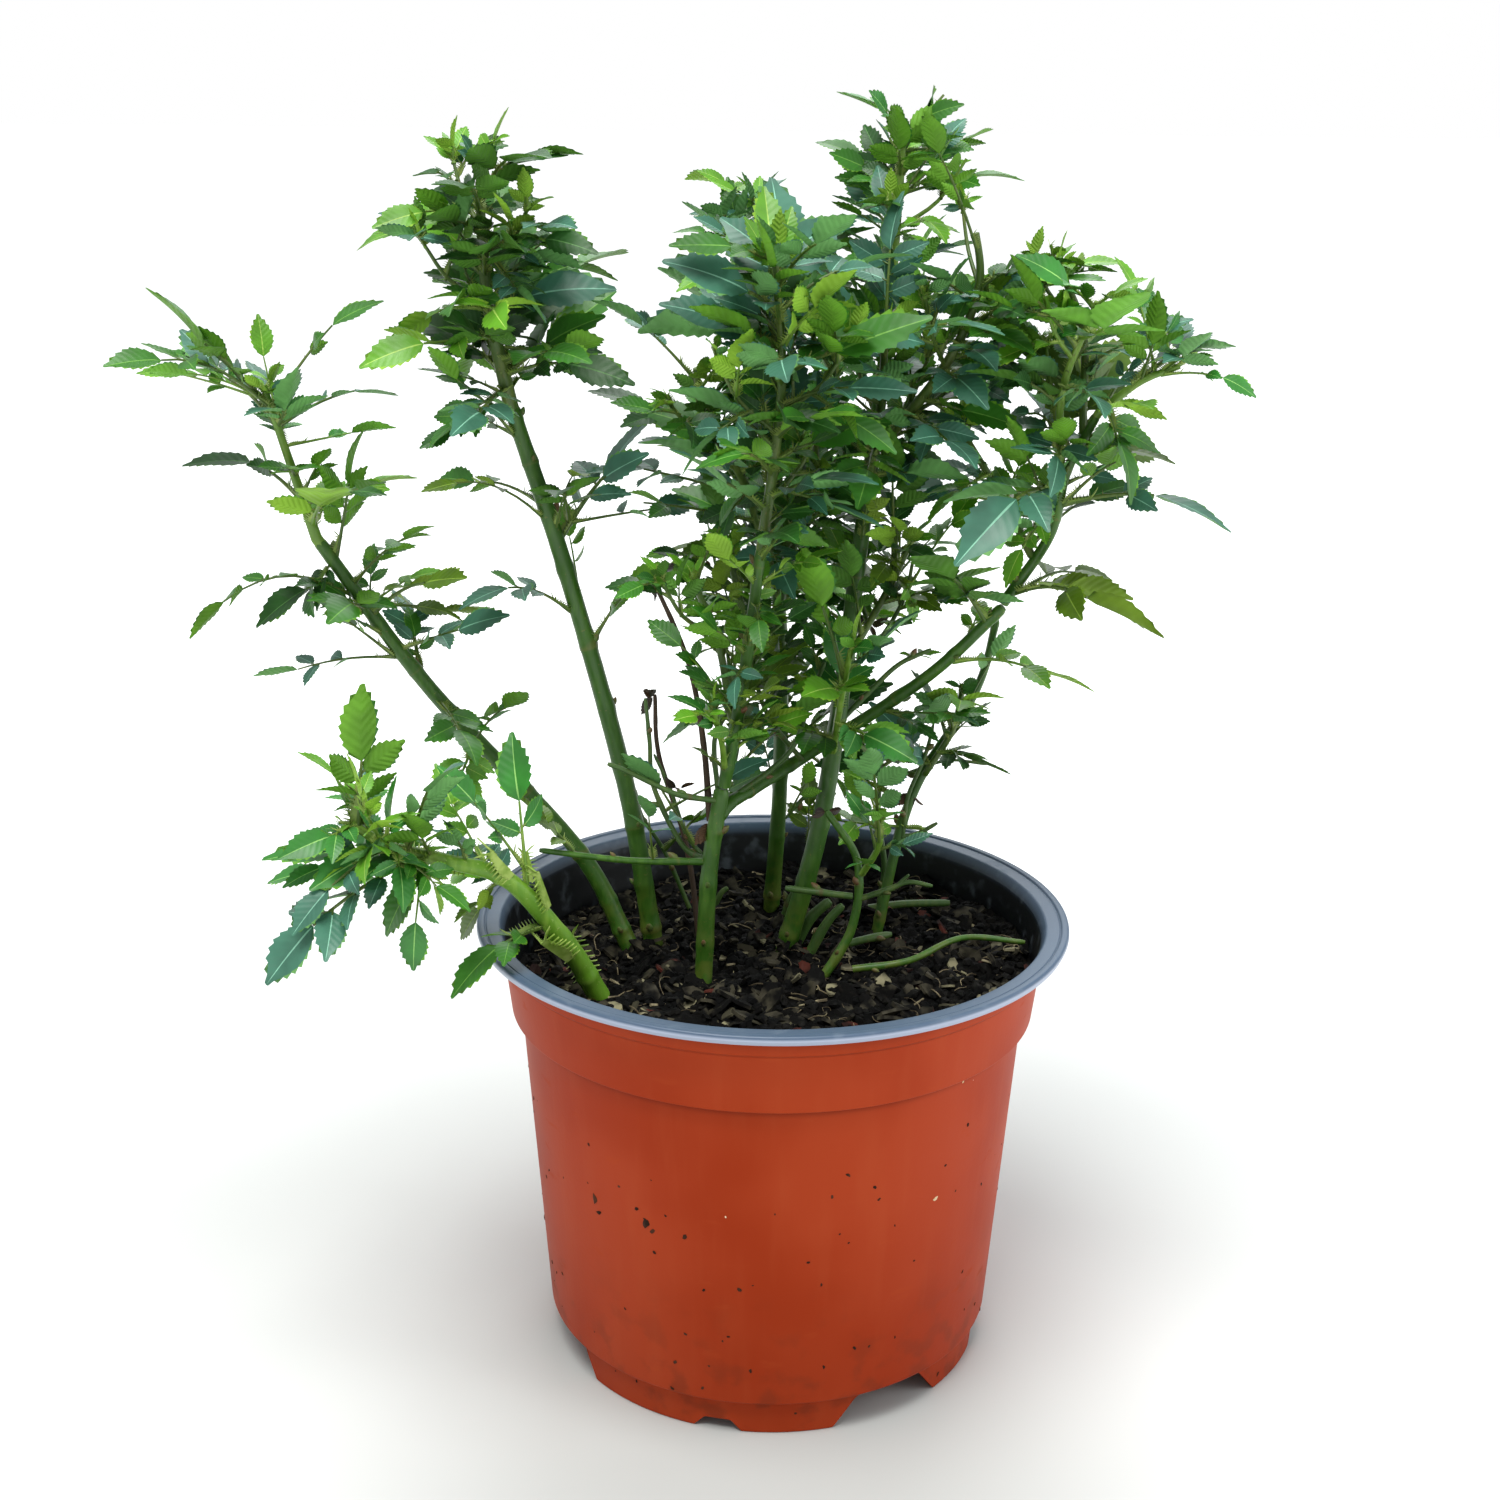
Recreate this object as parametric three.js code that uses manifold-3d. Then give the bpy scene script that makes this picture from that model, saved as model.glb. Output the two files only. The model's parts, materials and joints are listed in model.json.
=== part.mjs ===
// A young rose bush in its nursery pot, in millimetres, with +Z up.
// The canes stand on the potting soil, each leafy shoot or leaf is one solid that grows on from a cane,
// and the shell of the pot holds the soil. The origin is level with the pot's foot, under the middle of the
// whole plant.
import * as THREE from "three";
import { mergeVertices } from "three/addons/utils/BufferGeometryUtils.js";
import Module from "manifold-3d";

const wasm = await Module();
wasm.setup();

const clearance = 0.3; // gap between neighbouring pieces

// The pot: radii are to its outer face, heights are above the surface it stands on.
const pot = {
  height: 115.9,
  rimRadius: 75,
  rimThickness: 2.4,
  rimInnerRadius: 69.3,
  neckRadius: 69.9, // right under the rim
  collarTop: { radius: 68.4, height: 107.8 },
  collarFoot: { radius: 66.6, height: 92.9 },
  bodyTop: 64.1,
  bodyFoot: { radius: 57.95, height: 9.4 },
  footRadius: 55.6,
  footWall: 1.4,
  floor: 8.4,
  wall: 1.2,
  ledge: 0.6,
  sides: 32,
};
// Cuts in the foot ring, by the direction they face, so that water can run out.
const wideGaps = { angles: [-57, 97, -160], width: 19, height: 8.4, slant: 5 };
const smallNotches = { angles: [-103, -12, 46, 149], width: 6, height: 4.6, slant: 3 };

// The soil: it lies lower at the left than at the right, and its surface is uneven.
const soil = { height: 101.5, rise: 0.045, unevenness: 0.7, sides: 26, rings: [0.97, 0.78, 0.54, 0.28] };

// A leaf here is one leaf stem with leaflets in pairs and one at its end.
const leafStem = { rootRadius: 1.0, tipRadius: 0.8, straightUpTo: 20 };
const leaflet = { widthShare: 0.74, thickness: 0.8, fattestAt: 0.2, widestAt: 0.45, sunk: 0.25 };
// The solid leaves are fewer than the real ones, and larger to fill the same room.
const fewerLeaves = 0.36; // share of the leaves round a shoot
const largerRound = 1.75;
const largerLong = 1.22;
const smoothing = 0.03; // slivers shorter than this are closed up
const roundStemSides = 4;
const mostTries = 5; // directions tried for a leaf that has no room
const nextTry = 29; // degrees from one of those directions to the next

// How leaves are set round a shoot: angles in degrees, other values as shares of their own length.
const habit = {
  turn: 137.5, // round the shoot from one leaf to the next
  lean: [48, 66], // away from the shoot
  uprightAtTip: 26, // less lean at the shoot's tip
  reach: [0.8, 1.1],
  smallerAtTip: 0.35,
  droop: [0.25, 0.9], // of a leaf's outer half
  outward: 0.45,
};
// How leaflets are set along a leaf stem: angles in radians, other values as shares of their own length.
const set = {
  seats: { 1: [0.62], 2: [0.45, 0.78], 3: [0.36, 0.6, 0.83] }, // of the pairs, along the stem
  endLength: 1.1,
  sideLength: [0.72, 0.95],
  lowestPair: 0.8, // length of the lowest pair against the highest
  spread: [0.84, 1.22],
  rise: [-0.1, 0.35],
  roll: 0.65, // about its own length, either way
  backTilt: 0.25, // of its face, away from the way the stem goes
  shortestStem: 0.45,
  stagger: 0.7, // mm between the two of a pair
};

const green = 0x3f7a35;
const paleGreen = 0x8fae3c;
const dryBrown = 0x6b4a33;
const darkLeaf = 0x2c6138;
const midLeaf = 0x41792f;
const oliveLeaf = 0x5d7a28;
const blueLeaf = 0x3c7565;
const youngLeaf = 0x7ea145;
const brightLeaf = 0x4f9a50;

// Canes: the points that each passes from its foot, which is cut level just above the soil, to its tip,
// and its radii at both ends.
const canes = [
  {
    name: "left_cane", colour: green, radii: [2.9, 1.8],
    path: [[-37, 12, 100], [-51, 14, 127], [-87, 10, 171], [-112, 4, 210]],
  },
  {
    name: "tall_left_cane", colour: green, radii: [3.0, 2.2],
    path: [[-31, 14, 100], [-38, 11, 146], [-52, 6, 203], [-64, 3, 243]],
  },
  {
    name: "front_cane", colour: green, radii: [2.6, 2.3],
    path: [[-17.5, -9, 100], [-16, -8, 130], [-13, -7, 151]],
  },
  {
    name: "back_cane", colour: green, radii: [2.6, 1.7],
    path: [[0, 39, 100], [2, 35, 146], [0, 28, 206], [-4, 28, 254]],
  },
  {
    name: "tall_right_cane", colour: green, radii: [3.1, 1.9],
    path: [[3, 7, 100], [13, 8, 143], [21, 14, 212], [26, 20, 256]],
  },
  {
    name: "back_right_cane", colour: green, radii: [1.7, 1.1],
    path: [[27, 16, 100], [36, 22, 139], [52, 24, 168], [56, 20, 188]],
  },
  {
    name: "sprout_cane", colour: green, radii: [1.5, 1.0],
    path: [[12, -9, 100], [20, -6, 114], [21, -4, 131], [13, -3, 144]],
  },
  {
    name: "young_shoot", colour: paleGreen, radii: [3.3, 2.0],
    path: [[-43, -19, 100], [-50, -25, 116], [-63, -33, 136], [-78, -38, 143]],
  },
  {
    name: "dry_twig", colour: dryBrown, radii: [0.9, 0.6],
    path: [[-18, 2, 100], [-22, 4, 131], [-29, 3, 156], [-30, 3, 172]],
  },
];

// Boughs and twigs that leave the canes, and one that has fallen on the soil.
const boughs = [
  {
    name: "front_bough", colour: green, radii: [1.9, 1.5],
    path: [[-12.5, -8, 152], [-8, -13, 180], [-4, -18, 214]],
  },
  {
    name: "right_bough", colour: green, radii: [2.0, 1.7],
    path: [[-11, -3, 146], [8, 17, 152], [38, 14, 174], [56, 8, 194]],
  },
  {
    name: "upper_right_bough", colour: green, radii: [1.6, 1.2],
    path: [[56, 8, 195], [66, 4, 213], [69, 2, 229], [75, -1, 243]],
  },
  {
    name: "dead_twig", colour: dryBrown, radii: [1.0, 0.6],
    path: [[-16, -6, 142], [-18, 0, 162], [-22, 1, 182], [-31, 5, 202]],
  },
  {
    name: "low_twig", colour: green, radii: [1.1, 0.8],
    path: [[-17, -8, 132], [-36, -13, 134], [-57, -20, 139]],
  },
  {
    name: "fallen_twig", colour: green, radii: [1.1, 0.8],
    path: [[20, -14, 106], [34, -13, 108], [48, -5, 111], [64, -5, 110]],
  },
];

// Single leaves and groups of leaves with one root, on the limb and at the height given. Each leaf has the
// point its end leaflet reaches, how far it arches above a straight line, its pairs and its leaflets' length.
const leaf = (reach, arch, pairs, size) => ({ reach, arch, pairs, size });
const sprays = [
  {
    name: "left_cane_leaf_1", from: "left_cane", height: 157, tone: oliveLeaf,
    leaves: [leaf([-78, 4, 181], 1, 3, 9), leaf([-57, 4, 173], 5, 2, 9)],
  },
  {
    name: "left_cane_leaf_2", from: "left_cane", height: 167, tone: midLeaf,
    leaves: [leaf([-82, -12, 163], 6, 2, 10), leaf([-80, -4, 150], -4, 2, 9)],
  },
  {
    name: "left_cane_leaf_3", from: "left_cane", height: 180, tone: darkLeaf,
    leaves: [leaf([-127, 0, 175], 8, 3, 10)],
  },
  {
    name: "left_cane_leaf_4", from: "left_cane", height: 181, tone: darkLeaf,
    leaves: [leaf([-67, -4, 191], 3, 3, 12)],
  },
  {
    name: "left_cane_leaf_5", from: "left_cane", height: 191, tone: oliveLeaf,
    leaves: [leaf([-65, 4, 204], 6, 2, 12), leaf([-79, 14, 208], 8, 3, 11)],
  },
  {
    name: "left_cane_leaf_6", from: "left_cane", height: 197, tone: darkLeaf,
    leaves: [leaf([-141, -4, 184], 18, 3, 12), leaf([-125, -10, 195], 4, 2, 12)],
  },
  {
    name: "left_cane_leaf_7", from: "left_cane", height: 193, tone: blueLeaf,
    leaves: [leaf([-107, -26, 199], 6, 2, 13)],
  },
  {
    name: "left_cane_leaf_8", from: "left_cane", height: 205, tone: midLeaf,
    leaves: [leaf([-90, 0, 228], 3, 3, 12)],
  },
  {
    name: "tall_left_leaf_1", from: "tall_left_cane", height: 184, tone: midLeaf,
    leaves: [leaf([-43, 2, 203], 5, 2, 10)],
  },
  {
    name: "tall_left_leaf_2", from: "tall_left_cane", height: 193, tone: midLeaf,
    leaves: [leaf([-76, -4, 197], 7, 2, 13)],
  },
  {
    name: "tall_left_leaf_3", from: "tall_left_cane", height: 211, tone: darkLeaf,
    leaves: [
      leaf([-36, 8, 233], 5, 2, 14), leaf([-52, -14, 225], 8, 2, 13), leaf([-42, 13, 212], 3, 1, 12),
    ],
  },
  {
    name: "tall_left_leaf_4", from: "tall_left_cane", height: 217, tone: midLeaf,
    leaves: [leaf([-90, 0, 221], 7, 3, 10)],
  },
  {
    name: "right_leaf_1", from: "right_bough", height: 180, tone: oliveLeaf,
    leaves: [leaf([72, 6, 172], 9, 1, 14)],
  },
  {
    name: "right_leaf_2", from: "right_bough", height: 190, tone: blueLeaf,
    leaves: [leaf([30, -14, 200], 9, 2, 18)],
  },
  {
    name: "right_leaf_3", from: "upper_right_bough", height: 199, tone: oliveLeaf,
    leaves: [leaf([92, 0, 183], 14, 2, 17), leaf([84, 18, 203], 7, 2, 12)],
  },
  {
    name: "right_leaf_4", from: "upper_right_bough", height: 221, tone: midLeaf,
    leaves: [leaf([112, -4, 212], 10, 2, 18)],
  },
  {
    name: "right_leaf_5", from: "upper_right_bough", height: 224, tone: blueLeaf,
    leaves: [leaf([48, -14, 228], 9, 2, 17)],
  },
  {
    name: "right_leaf_6", from: "upper_right_bough", height: 235, tone: oliveLeaf,
    leaves: [leaf([95, 8, 236], 6, 2, 15), leaf([87, 17, 247], 4, 2, 12)],
  },
  {
    name: "low_twig_leaf", from: "low_twig", height: 137, tone: midLeaf,
    leaves: [leaf([-62, -12, 146], 4, 2, 9)],
  },
  {
    name: "young_shoot_leaf_1", from: "young_shoot", height: 133, tone: brightLeaf,
    leaves: [leaf([-62, -29, 166], 2, 2, 15), leaf([-74, -28, 160], 3, 1, 12)],
  },
  {
    name: "young_shoot_leaf_2", from: "young_shoot", height: 124, tone: brightLeaf,
    leaves: [leaf([-75, -50, 113], 5, 2, 13)],
  },
];

// Leafy shoots. Each has one stem, which passes the given points from its root. Height says where on the
// limb the root is, and without it the shoot grows on from the limb's tip. It has leaves set round it, of the
// given length, with leaflets of the given size, and some long leaves that reach out to a point of their own.
const shoots = [
  {
    name: "left_crown", from: "left_cane", tone: youngLeaf, seed: 3,
    path: [[-116, 2, 225], [-121, -3, 247]], radii: [1.6, 0.9],
    leaves: 5, length: 20, size: 10,
    long: [
      leaf([-157, -8, 256], 5, 3, 13), leaf([-98, 6, 270], 3, 2, 13), leaf([-146, -2, 224], 10, 2, 13),
      leaf([-86, 6, 243], 2, 3, 12), leaf([-116, -26, 226], 7, 2, 12), leaf([-98, -12, 249], 4, 2, 13),
      leaf([-139, 14, 260], 6, 2, 9), leaf([-95, -22, 232], 4, 2, 12),
      leaf([-145, -17, 252], 4, 3, 10), leaf([-103, 22, 238], 6, 2, 12),
    ],
  },
  {
    name: "tall_left_crown", from: "tall_left_cane", tone: darkLeaf, seed: 12,
    path: [[-68, 0, 265], [-69, -3, 283], [-69, -4, 300]], radii: [2.0, 0.9],
    leaves: 30, length: 33, size: 14,
    long: [
      leaf([-103, -2, 251], 6, 3, 12), leaf([-99, -12, 269], 5, 3, 12), leaf([-102, 4, 281], 6, 2, 12),
      leaf([-33, -10, 248], 5, 2, 14), leaf([-28, 4, 262], 4, 3, 14), leaf([-27, -6, 274], 6, 3, 13),
      leaf([-33, 24, 284], 6, 2, 13), leaf([-43, -8, 304], 3, 3, 10), leaf([-88, -8, 309], 3, 2, 10),
      leaf([-60, 34, 262], 6, 2, 14),
    ],
  },
  {
    name: "front_crown", from: "front_bough", tone: youngLeaf, seed: 24,
    path: [[-1, -21, 238], [0, -24, 258], [-2, -25, 280]], radii: [1.4, 0.9],
    leaves: 24, length: 33, size: 15,
    long: [
      leaf([-41, -10, 265], 4, 2, 15), leaf([20, -20, 291], 4, 2, 15), leaf([32, -28, 262], 8, 2, 20),
      leaf([-22, -30, 284], 4, 2, 15),
    ],
  },
  {
    name: "centre_left_crown", from: "back_cane", height: 196, tone: midLeaf, seed: 26,
    path: [[-8, 16, 222], [-18, 5, 241], [-20, 1, 254]], radii: [1.3, 0.9],
    leaves: 12, length: 28, size: 13,
    long: [
      leaf([-46, 8, 214], 5, 2, 13), leaf([-40, 4, 227], 5, 2, 13), leaf([-44, -4, 250], 2, 2, 15),
      leaf([-46, 14, 240], 4, 2, 13),
    ],
  },
  {
    name: "back_crown", from: "back_cane", tone: blueLeaf, seed: 23,
    path: [[-6, 30, 272], [-6, 31, 288]], radii: [1.5, 0.8],
    leaves: 12, length: 24, size: 12,
    long: [leaf([20, 44, 276], 5, 2, 13), leaf([-30, 46, 272], 5, 2, 13)],
  },
  {
    name: "back_low_shoot", from: "back_cane", height: 186, tone: darkLeaf, seed: 45,
    path: [[4, 48, 206], [3, 56, 226]], radii: [1.2, 0.8],
    leaves: 12, length: 30, size: 14,
    long: [],
  },
  {
    name: "inner_shoot_1", from: "back_cane", height: 160, tone: oliveLeaf, seed: 35,
    path: [[-6, 26, 180], [-12, 23, 202]], radii: [1.0, 0.8],
    leaves: 10, length: 27, size: 11,
    long: [],
  },
  {
    name: "inner_shoot_2", from: "front_bough", height: 170, tone: oliveLeaf, seed: 36,
    path: [[-14, -9, 188], [-20, -7, 203]], radii: [1.0, 0.8],
    leaves: 9, length: 27, size: 11,
    long: [],
  },
  {
    name: "inner_shoot_3", from: "tall_right_cane", height: 182, tone: oliveLeaf, seed: 37,
    path: [[28, 17, 196], [33, 18, 207]], radii: [1.0, 0.8],
    leaves: 8, length: 27, size: 11,
    long: [],
  },
  {
    name: "inner_shoot_4", from: "back_cane", height: 204, tone: darkLeaf, seed: 38,
    path: [[9, 24, 218], [9, 12, 234]], radii: [1.1, 0.8],
    leaves: 10, length: 28, size: 12,
    long: [],
  },
  {
    name: "tall_right_crown", from: "tall_right_cane", tone: youngLeaf, seed: 21,
    path: [[27, 21, 274], [28, 22, 290], [29, 24, 307]], radii: [1.7, 0.8],
    leaves: 20, length: 25, size: 12,
    long: [
      leaf([54, 20, 316], 3, 2, 10), leaf([17, 18, 316], 2, 2, 10), leaf([55, 24, 304], 4, 2, 11),
      leaf([52, 6, 288], 5, 3, 15), leaf([6, 34, 286], 4, 2, 12),
    ],
  },
  {
    name: "tall_right_front_shoot", from: "tall_right_cane", height: 222, tone: blueLeaf, seed: 28,
    path: [[24, 3, 245], [24, -7, 264]], radii: [1.3, 0.8],
    leaves: 12, length: 32, size: 15,
    long: [],
  },
  {
    name: "tall_right_low_shoot", from: "tall_right_cane", height: 156, tone: brightLeaf, seed: 39,
    path: [[16, -1, 172], [18, -7, 187]], radii: [1.0, 0.8],
    leaves: 6, length: 22, size: 15,
    long: [],
  },
  {
    name: "right_centre_crown", from: "tall_right_cane", height: 232, tone: blueLeaf, seed: 29,
    path: [[39, 5, 253], [46, 2, 272], [44, 0, 288]], radii: [1.4, 0.8],
    leaves: 18, length: 28, size: 14,
    long: [],
  },
  {
    name: "bough_shoot", from: "upper_right_bough", height: 207, tone: midLeaf, seed: 34,
    path: [[54, 10, 222], [45, 14, 236]], radii: [1.1, 0.8],
    leaves: 9, length: 28, size: 13,
    long: [],
  },
  {
    name: "right_upright_shoot", from: "upper_right_bough", height: 228, tone: youngLeaf, seed: 32,
    path: [[66, -4, 249], [72, -10, 270]], radii: [1.1, 0.8],
    leaves: 9, length: 29, size: 14,
    long: [leaf([88, -14, 276], 4, 1, 17)],
  },
  {
    name: "right_top_shoot", from: "upper_right_bough", height: 238, tone: blueLeaf, seed: 31,
    path: [[72, 10, 262], [64, 13, 279]], radii: [1.1, 0.8],
    leaves: 9, length: 27, size: 13,
    long: [],
  },
  {
    name: "right_crown", from: "upper_right_bough", tone: youngLeaf, seed: 33,
    path: [[84, -3, 251], [93, -4, 255]], radii: [1.1, 0.8],
    leaves: 7, length: 24, size: 13,
    long: [
      leaf([115, -6, 249], 9, 2, 12), leaf([104, 10, 262], 4, 2, 13), leaf([100, -20, 240], 6, 2, 13),
    ],
  },
  {
    name: "back_right_leaves", from: "back_right_cane", height: 146, tone: darkLeaf, seed: 41,
    path: [[46, 21, 158], [48, 21, 168]], radii: [0.9, 0.8],
    leaves: 7, length: 22, size: 14,
    long: [],
  },
  {
    name: "sprout_leaves", from: "sprout_cane", height: 128, tone: brightLeaf, seed: 44,
    path: [[26, -9, 137], [26, -11, 145]], radii: [0.9, 0.7],
    leaves: 4, length: 16, size: 8,
    long: [],
  },
  {
    name: "front_low_leaves", from: "front_bough", height: 158, tone: brightLeaf, seed: 40,
    path: [[-13, -15, 165], [-15, -20, 175]], radii: [0.9, 0.7],
    leaves: 5, length: 19, size: 9,
    long: [],
  },
  {
    name: "young_crown", from: "young_shoot", tone: brightLeaf, seed: 42,
    path: [[-90, -40, 147], [-98, -41, 153]], radii: [1.8, 1.0],
    leaves: 8, length: 22, size: 13,
    long: [
      leaf([-92, -42, 184], 1, 2, 14), leaf([-126, -45, 138], 5, 1, 15),
      leaf([-118, -50, 117], 4, 2, 16), leaf([-87, -54, 117], 4, 2, 15),
    ],
  },
];

const up = new THREE.Vector3(0, 0, 1);
const vector = (list) => new THREE.Vector3(...list);

// Repeatable random numbers for one shoot or spray.
function makeDice(seed) {
  let state = (seed * 7919 + 12345) % 4294967296;
  return (low, high) => {
    state = (state * 1664525 + 1013904223) % 4294967296;
    return low + ((high - low) * state) / 4294967296;
  };
}

// A closed geometry as a solid that can be joined and cut.
function solidOf(geometry) {
  const bare = geometry.index ? geometry.toNonIndexed() : geometry.clone();
  bare.deleteAttribute("normal");
  bare.deleteAttribute("uv");
  const merged = mergeVertices(bare, 1e-4);
  const triVerts = new Uint32Array(merged.index.array);
  const vertProperties = new Float32Array(merged.attributes.position.array);
  return new wasm.Manifold(new wasm.Mesh({ numProp: 3, vertProperties, triVerts }));
}

function geometryOf(solid) {
  const mesh = solid.getMesh();
  const geometry = new THREE.BufferGeometry();
  geometry.setAttribute("position", new THREE.BufferAttribute(new Float32Array(mesh.vertProperties), 3));
  geometry.setIndex(new THREE.BufferAttribute(new Uint32Array(mesh.triVerts), 1));
  geometry.computeVertexNormals();
  return geometry;
}

// Joins pieces into one body: a scrap that doesn't touch it is dropped, and a sealed hollow is filled.
function fuse(pieces) {
  const bodies = wasm.Manifold.union(pieces).asOriginal().simplify(smoothing).decompose();
  return bodies.reduce((best, body) => (body.volume() > best.volume() ? body : best));
}

// A straight tapering rod, bent so that it follows a curve.
function bentRod(curve, rootRadius, tipRadius, sides, steps) {
  const rod = new THREE.CylinderGeometry(tipRadius, rootRadius, 1, sides, steps);
  const chord = curve.getPoint(1).sub(curve.getPoint(0));
  const alongY = Math.abs(chord.y) > 0.7 * chord.length();
  const across = alongY ? new THREE.Vector3(1, 0, 0) : new THREE.Vector3(0, 1, 0);
  const position = rod.attributes.position;
  for (let i = 0; i < position.count; i++) {
    const share = position.getY(i) + 0.5;
    const tangent = curve.getTangent(share);
    const sideways = new THREE.Vector3().crossVectors(across, tangent).normalize();
    const third = new THREE.Vector3().crossVectors(tangent, sideways);
    const point = curve.getPoint(share);
    point.addScaledVector(third, position.getX(i)).addScaledVector(sideways, position.getZ(i));
    position.setXYZ(i, point.x, point.y, point.z);
  }
  return solidOf(rod);
}

// Pot

function potWallAt(height) {
  const { collarTop, collarFoot, bodyTop, bodyFoot } = pot;
  const between = (low, lowRadius, high, highRadius) =>
    lowRadius + ((highRadius - lowRadius) * (height - low)) / (high - low);
  if (height < collarFoot.height) {
    return between(bodyFoot.height, bodyFoot.radius, collarFoot.height, bodyTop) - pot.wall;
  }
  return between(collarFoot.height, collarFoot.radius, collarTop.height, collarTop.radius) - pot.wall;
}

function makePot() {
  const { height, rimRadius, rimThickness, collarTop, collarFoot, bodyFoot, wall, ledge } = pot;
  const footInside = pot.footRadius - pot.footWall;
  const underRim = height - rimThickness;
  const profile = [
    [0, pot.floor],
    [footInside, pot.floor],
    [footInside, 0],
    [pot.footRadius, 0],
    [pot.footRadius, bodyFoot.height - ledge],
    [bodyFoot.radius, bodyFoot.height],
    [pot.bodyTop, collarFoot.height - ledge],
    [collarFoot.radius, collarFoot.height],
    [collarTop.radius, collarTop.height],
    [collarTop.radius + ledge, collarTop.height + ledge],
    [pot.neckRadius, underRim],
    [rimRadius - ledge, underRim],
    [rimRadius, height - 1],
    [rimRadius - 1, height],
    [pot.rimInnerRadius, height - ledge],
    [pot.neckRadius - 1.5 * wall, underRim - ledge],
    [potWallAt(collarTop.height), collarTop.height],
    [potWallAt(collarFoot.height), collarFoot.height + 2 * ledge],
    [potWallAt(collarFoot.height - ledge), collarFoot.height],
    [potWallAt(pot.floor + wall), pot.floor + wall],
    [0, pot.floor + wall],
  ];
  const points = profile.map(([radius, z]) => new THREE.Vector2(radius, z));
  const shell = solidOf(new THREE.LatheGeometry(points, pot.sides).rotateX(Math.PI / 2));
  const gapsOf = (kind) => kind.angles.map((angle) => footGap(angle, kind));
  return [...gapsOf(wideGaps), ...gapsOf(smallNotches)].reduce((cut, gap) => cut.subtract(gap), shell);
}

// A wedge with slanting sides, wider at the ground, that passes through the foot ring.
function footGap(angle, { width, height, slant }) {
  const half = width / 2;
  const outline = new THREE.Shape([
    new THREE.Vector2(-half - slant, -1),
    new THREE.Vector2(half + slant, -1),
    new THREE.Vector2(half, height),
    new THREE.Vector2(-half, height),
  ]);
  const depth = 14;
  const wedge = new THREE.ExtrudeGeometry(outline, { depth, bevelEnabled: false });
  wedge.rotateX(Math.PI / 2).rotateZ(Math.PI / 2);
  wedge.translate(pot.footRadius - depth / 2, 0, 0).rotateZ(THREE.MathUtils.degToRad(angle));
  return solidOf(wedge);
}

// Soil

function soilSurface(x, y) {
  const bumps = Math.sin(x / 6 + 1) * Math.cos(y / 8) + 0.6 * Math.sin(x / 4 - y / 5);
  return soil.height + soil.rise * (x + 0.3 * y) + soil.unevenness * bumps;
}

function makeSoil() {
  const floorLevel = pot.floor + pot.wall + clearance;
  const shoulder = pot.collarFoot.height - 2 * pot.ledge;
  const room = 2 * clearance; // the flat sides of the shell come nearer than its corners
  const edge = potWallAt(soil.height) - room;
  const points = [
    new THREE.Vector2(0, floorLevel),
    new THREE.Vector2(potWallAt(floorLevel) - room, floorLevel),
    new THREE.Vector2(potWallAt(shoulder) - room, shoulder),
    new THREE.Vector2(edge - 2 * pot.ledge, soil.height),
    ...soil.rings.map((share) => new THREE.Vector2(edge * share - 2 * pot.ledge, soil.height)),
    new THREE.Vector2(0, soil.height),
  ];
  const body = new THREE.LatheGeometry(points, soil.sides).rotateX(Math.PI / 2);
  const position = body.attributes.position;
  for (let i = 0; i < position.count; i++) {
    if (position.getZ(i) > shoulder + pot.ledge) {
      position.setZ(i, soilSurface(position.getX(i), position.getY(i)));
    }
  }
  return solidOf(body);
}

// Plant

const finished = []; // { name, solid, colour, roughness }, in the order they are made
const curves = new Map(); // a limb's name: { curve, radii }
const obstacles = []; // every piece that is in place: { owner, kind, leaf, solid, box }

function boxOf(solid) {
  const { min, max } = solid.boundingBox();
  return new THREE.Box3(vector([...min]), vector([...max]));
}

function addObstacle(owner, solid, kind = "limb", leaf = 0) {
  obstacles.push({ owner, kind, leaf, solid, box: boxOf(solid) });
}

// Pieces of one node may meet where a stem carries them. Blades stay apart.
function mayMeet(piece, other) {
  if (piece.owner !== other.owner) {
    return false;
  }
  const blades = [piece, other].filter(({ kind }) => kind === "blade").length;
  return blades === 0 || other.kind === "limb" || (blades === 1 && piece.leaf === other.leaf);
}

function isClear(solid, owner, kind = "limb", leaf = 0) {
  const near = boxOf(solid).expandByScalar(clearance);
  const piece = { owner, kind, leaf };
  const leavesRoom = (other) => !other.box.intersectsBox(near) || other.solid.minGap(solid, 1) >= clearance;
  return obstacles.every((other) => mayMeet(piece, other) || leavesRoom(other));
}

function finish(name, solid, colour, roughness) {
  finished.push({ name, solid, colour, roughness });
}

// The rest of a curve, from the given share of it on.
function restOf(curve, start) {
  const points = [0, 0.25, 0.5, 0.75, 1].map((share) => curve.getPoint(start + (1 - start) * share));
  return new THREE.CatmullRomCurve3(points, false, "catmullrom");
}

// The place on a limb's curve where it first reaches a height.
function shareAtHeight(curve, height) {
  let share = 0;
  while (share < 1 && curve.getPoint(share).z < height) {
    share += 0.005;
  }
  return Math.min(share, 1);
}

const limbSides = 6;
const limbStep = 13; // length of one straight stretch
function makeLimb({ name, path, radii, colour }, isCane) {
  const curve = new THREE.CatmullRomCurve3(path.map(vector), false, "catmullrom");
  const steps = Math.max(4, Math.round(curve.getLength() / limbStep));
  const limbFrom = (start) => {
    const rod = bentRod(restOf(curve, start), radii[0], radii[1], limbSides, steps);
    return isCane ? rod.trimByPlane([0, 0, 1], levelAbove(path[0], radii[0])) : rod;
  };
  let start = 0;
  let solid = limbFrom(start);
  while (!isClear(solid, name)) {
    start += 0.005;
    solid = limbFrom(start);
  }
  curves.set(name, { curve, radii });
  addObstacle(name, solid);
  finish(name, solid, colour, 0.55);
}

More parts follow.
